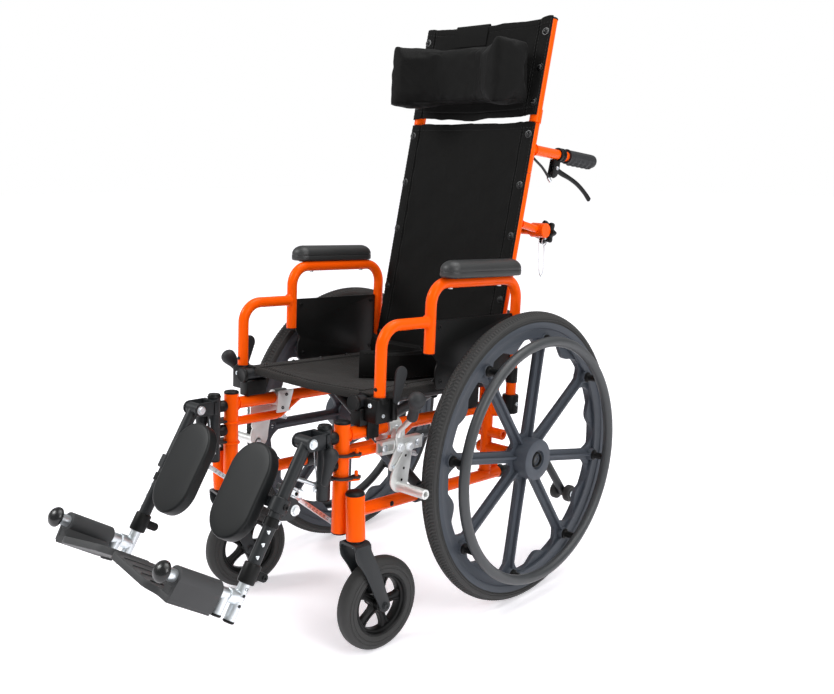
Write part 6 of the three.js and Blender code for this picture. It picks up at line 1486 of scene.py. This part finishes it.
def sling(piece_name, body, cad, bottom, top, rear, sag, seed, snaps, corner=0.0):
    """A sling as a thick sheet with hem rows of stitching and its press studs."""
    s = Shells(on_back)
    face = sling_sheet(bottom, top, rear, sag, seed, corner)
    behind = face + np.array([0, 3.0, 0])
    behind[..., 0] *= 0.998
    s.add(sheet_rings(face, behind), CLOTH)
    piece = build(piece_name, s, body, [cad], angle=60)
    t = Shells(on_back)
    rows = face[:, :, 2].mean(1)
    for x0 in (-152.6, -146.4, 146.4, 152.6, -175.5, 175.5):
        column = int(np.argmin(np.abs(face[0, :, 0] - x0)))
        line = face[2:-2, column] - [0, 0.35, 0]
        line[:, 0] = x0
        stitches(t, line)
    for z0 in (bottom + 13, top - 13):
        row = int(np.argmin(np.abs(rows - z0)))
        stitches(t, face[row, 2:-2] - [0, 0.35, 0])
    for x0, z0 in snaps:
        row = int(np.argmin(np.abs(rows - z0)))
        column = int(np.argmin(np.abs(face[0, :, 0] - x0)))
        t.add(snap(face[row, column] + [0, 0.6, 0], FRONT), STUD)
    trim = build(piece_name + "_trim", t, body)


def strap_over_top():
    """A wide strap folded over the headrest sling's top edge and down its back."""
    s = Shells(on_back)
    x = np.linspace(-88, 6, 30)[None]
    front = np.array([(-18.6, 735), (-18.8, 755), (-18.6, 772), (-17.6, 781), (-14.4, 785), (-10.4, 783.6),
        (-8.6, 777), (-8.2, 760), (-8.2, 640), (-8.2, 600)])
    path = spline(front, 70)
    share = np.clip(np.abs(x) / 157, 0, 1)
    y = path[:, :1] + 6 * (1 - share ** 2.4) * 0.6 + rumple(x, path[:, 1:], 0.3, 60, 9)
    z = path[:, 1:] + 0 * x
    outer = np.stack([x + 0 * z, y, z], -1)
    step = unit(np.gradient(path, axis=0))
    shift = np.stack([0 * step[:, 0], step[:, 1], -step[:, 0]], -1)[:, None] * 1.4
    s.add(sheet_rings(outer, outer + shift), CLOTH)
    strap = build("headrest_strap", s, "headrest", angle=60)


def cushion_point(u, v, h):
    """Cushion plan (u across, v deep) at height h: leaned, 14 % less deep at its top, wings peaked."""
    depth = v * (1 - 0.14 * h / 126)
    peak = np.exp(-((np.abs(u) - 143) / 12) ** 2) * smooth(v, 80, 112)
    h = h + 8 * peak * smooth(h, 70, 126)
    c, s = math.cos(CUSHION_LEAN), math.sin(CUSHION_LEAN)
    return np.stack([u, -15.8 - depth * c - h * s, 599 + h * c - depth * s], -1)


def cushion_plan():
    """The C-shaped plan: shallow middle, deep wings, softened corners."""
    shares = np.array([0, 0.2, 0.34, 0.48, 0.6, 0.72, 0.82, 0.9, 0.96, 1]) * 165
    depths = np.array([48, 50, 56, 69, 85, 102, 115, 118, 109, 92.0])
    front = spline(np.stack([shares, depths], -1), 60)
    corner = np.array([(165, 60), (165, 22), (161, 11), (156, 3), (150, 0), (100, 0)], float)
    half = np.concatenate([front, corner])
    return counter_clockwise(np.concatenate([half, half[:0:-1] * [-1, 1]]))


def vectors(items, field):
    """One three-part value of every item, as rows."""
    values = np.empty(len(items) * 3)
    items.foreach_get(field, values)
    return values.reshape(-1, 3)


def blown(piece, pin_behind, cap):
    """Fills the cushion: an even 5 mm skin under pressure, each point moving at most the cap."""
    even = piece.modifiers.new("Even", "REMESH")
    even.mode = "VOXEL"
    even.voxel_size = 0.005
    calm = piece.modifiers.new("Calm", "SMOOTH")
    calm.factor = 0.5
    calm.iterations = 3
    graph = bpy.context.evaluated_depsgraph_get()
    skin = bpy.data.meshes.new_from_object(piece.evaluated_get(graph))
    piece.modifiers.clear()
    piece.data = skin
    rest = vectors(skin.vertices, "co")
    fabric = piece.modifiers.new("Blow", "CLOTH")
    fabric.settings.use_pressure = True
    fabric.settings.uniform_pressure_force = 4.0
    fabric.settings.tension_stiffness = 20
    fabric.settings.compression_stiffness = 20
    fabric.settings.effector_weights.gravity = 0.0
    for moment in range(1, 21):
        bpy.context.scene.frame_set(moment)
    graph = bpy.context.evaluated_depsgraph_get()
    puffed = piece.evaluated_get(graph).to_mesh()
    moved = vectors(puffed.vertices, "co")
    piece.evaluated_get(graph).to_mesh_clear()
    piece.modifiers.clear()
    bpy.context.scene.frame_set(1)
    step = moved - rest
    length = norm(step, axis=1, keepdims=True)
    step = step / np.maximum(length, 1e-9) * np.minimum(length, cap)
    free = smooth(pin_behind(rest), 0.0, 1.0)[:, None]
    rest = rest + step * free
    skin.vertices.foreach_set("co", rest.ravel())
    skin.update()


def head_cushion():
    """Head cushion: the C plan lofted to a soft-edged block, blown up by simulation, creased and seamed."""
    plan = cushion_plan()
    s = Shells(on_back)
    rise = [(0, 7), (1.6, 3), (5, 1.5), (20, 0.6), (63, 0.2), (106, 0.6), (121, 1.5), (124.4, 3), (126, 7)]
    rings = []
    for h, d in rise:
        p = inset(plan, d + 1.6)
        rings.append(cushion_point(p[:, 0], p[:, 1], np.full(len(p), float(h))))
    s.add(np.array(rings), CLOTH)
    mesh = bpy.data.meshes.new("head_cushion_cover")
    mesh.from_pydata(np.concatenate(s.points).tolist(), [], s.faces)
    piece = placed("head_cushion_cover", mesh)
    rear = on_back(cushion_point(np.array([0.0]), np.array([0.0]), np.array([60.0])))[0]
    normal = on_back(cushion_point(np.array([0.0]), np.array([-1.0]), np.array([60.0])))[0] - rear
    normal = normal / norm(normal)
    blown(piece, lambda p: ((rear - p) @ normal) / 0.02, 0.007)
    skin = piece.data
    co = vectors(skin.vertices, "co")
    normals = vectors(skin.vertex_normals, "vector")
    mm = co / MM
    crease = rumple(mm[:, 0], mm[:, 2] * 0.6, 0.9, 85, 21) + 0.5 * rumple(mm[:, 0] + mm[:, 1], mm[:, 2],
        0.8, 40, 5)
    folds = 0.0
    for at, lean, width, depth in ((66, 0.05, 5, 2.6), (52, -0.1, 4, 1.6), (80, 0.02, 4, 1.4),
            (30, 0.3, 6, 1.3), (-104, -0.9, 6, 2.4), (-84, -0.8, 5, 1.8), (-60, -0.9, 5, 1.4),
            (-126, -0.7, 6, 1.6)):
        fade = 0.45 + 0.55 * np.sin(0.05 * (mm[:, 2] - 1000) + at)
        folds = folds - depth * fade * np.exp(-((mm[:, 0] - at - lean * (mm[:, 2] - 1060)) / width) ** 2)
    co = co + normals * ((crease + folds) * MM)[:, None]
    skin.vertices.foreach_set("co", co.ravel())
    skin.materials.clear()
    skin.materials.append(material(CLOTH_ON_FORM))
    settle(skin, 180)
    fine = piece.modifiers.new("Fine", "SUBSURF")
    fine.levels = fine.render_levels = 1
    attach(piece, "headrest")
    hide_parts("head_cushion")
    # Seam: a thin cord laid on the skin along the lower edge
    tree = BVHTree.FromPolygons([tuple(p) for p in co], [tuple(f.vertices) for f in skin.polygons])
    t = Shells(lambda p, side: p)
    p = inset(plan, 2.2)
    line = on_back(cushion_point(p[:, 0], p[:, 1], np.full(len(p), 3.0)))
    line = np.array([tuple(tree.find_nearest(Vector(q))[0]) for q in line])
    line = (line + np.roll(line, 1, 0) + np.roll(line, -1, 0)) / 3
    t.add(swept(line, 0.75 * MM, 8), CLOTH, loop=True)
    build("head_cushion_seams", t, "headrest")


def gas_strut(side):
    """Rod with its eye, and the cylinder that slides on it, along the line from stud to back tube."""
    foot, head = STRUT_FOOT, STRUT_HEAD
    length = norm(head - foot)
    d = (head - foot) / length
    s = Shells(on_chassis, side)
    s.add(stack(foot, d, [(6, 4), (177, 4)], 18), ZINC)
    s.add(stack(foot - [3.5, 0, 0], OUT, [(0, 7.2), (0.7, 8), (6.3, 8), (7, 7.2)], 24), PLASTIC)
    s.add(stack(foot, d, [(5, 5.6), (14, 5.6), (15, 4.8)], 18), PLASTIC)
    build_pair(side, "strut_stem", s, "strut_rod", "strut_rod")
    t = Shells(on_chassis, side)
    t.add(stack(foot, d, [(144.9, 4.4), (144.9, 8.4), (146, 9.3), (150, 9.5), (308, 9.5), (311, 8.6),
        (312.8, 6), (312.8, 5), (319, 5), (320.8, 3.6)], 32), BLACK)
    t.add(stack(foot, d, [(149, 9.8), (155, 9.8)], 32), ZINC)
    build_pair(side, "strut_barrel", t, "strut_cylinder", "strut_cylinder")


def stage():
    """Pale floor, even white surroundings, large soft lights, and the camera at the photograph's place."""
    half = look().floor_size / 2
    mesh = bpy.data.meshes.new("studio_floor")
    mesh.from_pydata([(-half, -half, 0), (half, -half, 0), (half, half, 0), (-half, half, 0)], [],
        [(0, 1, 2, 3)])
    surface = bpy.data.materials.new("matt white studio floor")
    surface.use_nodes = True
    surface.node_tree.nodes.clear()
    # A little glow of its own keeps the floor white to its far edge
    coated(surface.node_tree, linear("#F2F1F4"), linear("#F5F4F7"), (0.75, 0.85),
        {"Specular IOR Level": 0.1, "Emission Color": linear("#FCFAFF"),
        "Emission Strength": look().floor_glow}, 3.0, 0.01)
    mesh.materials.append(surface)
    placed("studio_floor", mesh)
    world = bpy.context.scene.world or bpy.data.worlds.new("studio")
    bpy.context.scene.world = world
    world.use_nodes = True
    tree = world.node_tree
    tree.nodes.clear()
    seen = node(tree, "LightPath").outputs["Is Camera Ray"]
    strength = node(tree, "Mix", {"data_type": "FLOAT", "A": look().surround_light, "B": 1.0},
        {"Factor": seen})
    sky = node(tree, "Background", {"Color": (1.0, 1.0, 1.0, 1.0)},
        {"Strength": strength.outputs["Result"]})
    tree.links.new(sky.outputs["Background"], node(tree, "OutputWorld").inputs["Surface"])
    sun = bpy.data.lights.new("window_wall", "SUN")
    sun.angle = math.radians(60)
    sun.energy = 1.2
    wall = placed("window_wall", sun)
    wall.rotation_euler = Vector((0.35, 0.25, 1.0)).to_track_quat("Z", "Y").to_euler()
    lights = [("key", (-2.4, -2.6, 3.4), 1.6, 110), ("side", (3.4, -0.6, 2.4), 1.6, 60),
        ("top", (0.4, 0.8, 4.2), 2.4, 60)]
    for label, place, size, power in lights:
        lamp = bpy.data.lights.new("soft_" + label, "AREA")
        lamp.shape = "SQUARE"
        lamp.size = size
        lamp.energy = power
        box = placed("soft_" + label, lamp)
        box.location = place
        box.rotation_euler = (Vector((0, 0, 0.5)) - Vector(place)).to_track_quat("-Z", "Y").to_euler()
    camera = bpy.data.cameras.new("photograph_view")
    camera.sensor_width = 36.0
    camera.lens = 42.217
    back = Vector((0.6709, -0.7156, 0.1945)).normalized()
    right = Vector((0.7295, 0.6839, 0.0)).normalized()
    up = back.cross(right)
    eye = placed("photograph_view", camera)
    place = Matrix((right, up, back)).transposed().to_4x4()
    place.translation = Vector((1.44668, -1.58257 + AXLE[1], 0.92668))
    eye.matrix_world = place
    bpy.context.scene.camera = eye
    bpy.context.scene.view_settings.view_transform = "Standard"
    bpy.context.scene.view_settings.look = "None"


# Add-on

class WheelchairLook(bpy.types.PropertyGroup):
    """Sizes and colours that a user would change."""

    frame_colour: bpy.props.FloatVectorProperty(name="Frame colour",
        description="Powder coat of the tubes, linear", subtype="COLOR", size=3, min=0, max=1,
        default=(0.95, 0.097, 0.002))
    weave_spacing: bpy.props.FloatProperty(name="Weave spacing",
        description="Distance between threads of the cloth, drawn coarse so that it shows", default=0.0016,
        min=0.0004, max=0.01, unit="LENGTH")
    stitch_pitch: bpy.props.FloatProperty(name="Stitch pitch",
        description="Length of one stitch along a seam", default=0.0075, min=0.002, max=0.03, unit="LENGTH")
    tread_lugs: bpy.props.IntProperty(name="Tread lugs", description="Lugs round one rear tyre",
        default=250, min=60, max=320)
    floor_size: bpy.props.FloatProperty(name="Floor size", description="Side of the studio floor",
        default=40.0, min=2.0, max=100.0, unit="LENGTH")
    surround_light: bpy.props.FloatProperty(name="Surround light",
        description="Strength of the white surroundings", default=0.4, min=0.0, max=5.0)
    floor_glow: bpy.props.FloatProperty(name="Floor glow",
        description="Light that the white floor gives by itself", default=0.4, min=0.0, max=2.0)


def both(*makers):
    """Makes each piece for the left and for the right."""
    for make in makers:
        for side in (1, -1):
            make(side)


class CHAIR_OT_side_frames(bpy.types.Operator):
    """Make both side frames with their anti-tip tubes"""

    bl_idname = "chair.side_frames"
    bl_label = "Side Frames"

    def execute(self, context):
        both(side_frame, tip_rollers)
        return {"FINISHED"}


class CHAIR_OT_cross_braces(bpy.types.Operator):
    """Make the two diagonals with their seat rails"""

    bl_idname = "chair.cross_braces"
    bl_label = "Cross Braces"

    def execute(self, context):
        both(cross_brace)
        return {"FINISHED"}


class CHAIR_OT_seat(bpy.types.Operator):
    """Make the seat sling and the lap belt"""

    bl_idname = "chair.seat"
    bl_label = "Seat"

    def execute(self, context):
        seat_cloth()
        lap_belt()
        return {"FINISHED"}


class CHAIR_OT_armrests(bpy.types.Operator):
    """Make the armrests and their sockets"""

    bl_idname = "chair.armrests"
    bl_label = "Armrests"

    def execute(self, context):
        both(arm_socket, arm_frame, arm_pad, side_panel)
        return {"FINISHED"}


class CHAIR_OT_wheels(bpy.types.Operator):
    """Make the rear wheels with tyres and push rings"""

    bl_idname = "chair.wheels"
    bl_label = "Rear Wheels"

    def execute(self, context):
        both(tyre, wheel_rim, handrim)
        return {"FINISHED"}


class CHAIR_OT_casters(bpy.types.Operator):
    """Make the caster forks and wheels"""

    bl_idname = "chair.casters"
    bl_label = "Casters"

    def execute(self, context):
        both(caster_fork, caster_wheel)
        return {"FINISHED"}


class CHAIR_OT_wheel_locks(bpy.types.Operator):
    """Make the wheel locks"""

    bl_idname = "chair.wheel_locks"
    bl_label = "Wheel Locks"

    def execute(self, context):
        both(lock_bracket, lock_lever, lock_shoe)
        return {"FINISHED"}


class CHAIR_OT_legrests(bpy.types.Operator):
    """Make the elevating legrests"""

    bl_idname = "chair.legrests"
    bl_label = "Legrests"

    def execute(self, context):
        both(hanger, leg_tube, leg_strut, leg_slide, footplate, calf_pad)
        return {"FINISHED"}


class CHAIR_OT_back(bpy.types.Operator):
    """Make the uprights, back sling, grips, levers and spreader bar"""

    bl_idname = "chair.back"
    bl_label = "Back"

    def execute(self, context):
        both(back_tube, grip, recline_lever)
        spreader_bar()
        studs = [(sign * 168.5, z) for sign in (1, -1) for z in (66, 176, 315, 424, 531)]
        sling("back_cloth", "back", "back_sling", 36, 559, -15.4, 14, 11, studs)
        return {"FINISHED"}


class CHAIR_OT_headrest(bpy.types.Operator):
    """Make the headrest posts, sling, strap and cushion"""

    bl_idname = "chair.headrest"
    bl_label = "Headrest"

    def execute(self, context):
        both(headrest_tube)
        studs = [(sign * 168.5, z) for sign in (1, -1) for z in (599, 676, 751)]
        sling("headrest_cloth", "headrest", "headrest_sling", 574, 779, -17.4, 6, 17, studs,
            corner=7.0)
        strap_over_top()
        head_cushion()
        return {"FINISHED"}


class CHAIR_OT_gas_struts(bpy.types.Operator):
    """Make the gas struts that hold the back"""

    bl_idname = "chair.gas_struts"
    bl_label = "Gas Struts"

    def execute(self, context):
        both(gas_strut)
        return {"FINISHED"}


class CHAIR_OT_stage(bpy.types.Operator):
    """Set the floor, lights and camera"""

    bl_idname = "chair.stage"
    bl_label = "Studio"

    def execute(self, context):
        stage()
        return {"FINISHED"}


STEPS = ("stage", "side_frames", "cross_braces", "seat", "armrests", "wheels", "casters", "wheel_locks",
    "legrests", "back", "headrest", "gas_struts")


class CHAIR_PT_panel(bpy.types.Panel):
    """Steps and sizes in the sidebar"""

    bl_idname = "CHAIR_PT_panel"
    bl_label = "Wheelchair"
    bl_space_type = "VIEW_3D"
    bl_region_type = "UI"
    bl_category = "Wheelchair"

    def draw(self, context):
        for field in WheelchairLook.__annotations__:
            self.layout.prop(context.scene.wheelchair_look, field)
        for step in STEPS:
            self.layout.operator("chair." + step)


CLASSES = (WheelchairLook, CHAIR_OT_side_frames, CHAIR_OT_cross_braces, CHAIR_OT_seat, CHAIR_OT_armrests,
    CHAIR_OT_wheels, CHAIR_OT_casters, CHAIR_OT_wheel_locks, CHAIR_OT_legrests, CHAIR_OT_back,
    CHAIR_OT_headrest, CHAIR_OT_gas_struts, CHAIR_OT_stage, CHAIR_PT_panel)


def register():
    for item in CLASSES:
        bpy.utils.register_class(item)
    bpy.types.Scene.wheelchair_look = bpy.props.PointerProperty(type=WheelchairLook)


def unregister():
    del bpy.types.Scene.wheelchair_look
    for item in reversed(CLASSES):
        bpy.utils.unregister_class(item)


def main():
    register()
    for step in STEPS:
        getattr(bpy.ops.chair, step)()


if __name__ == "__main__":
    main()
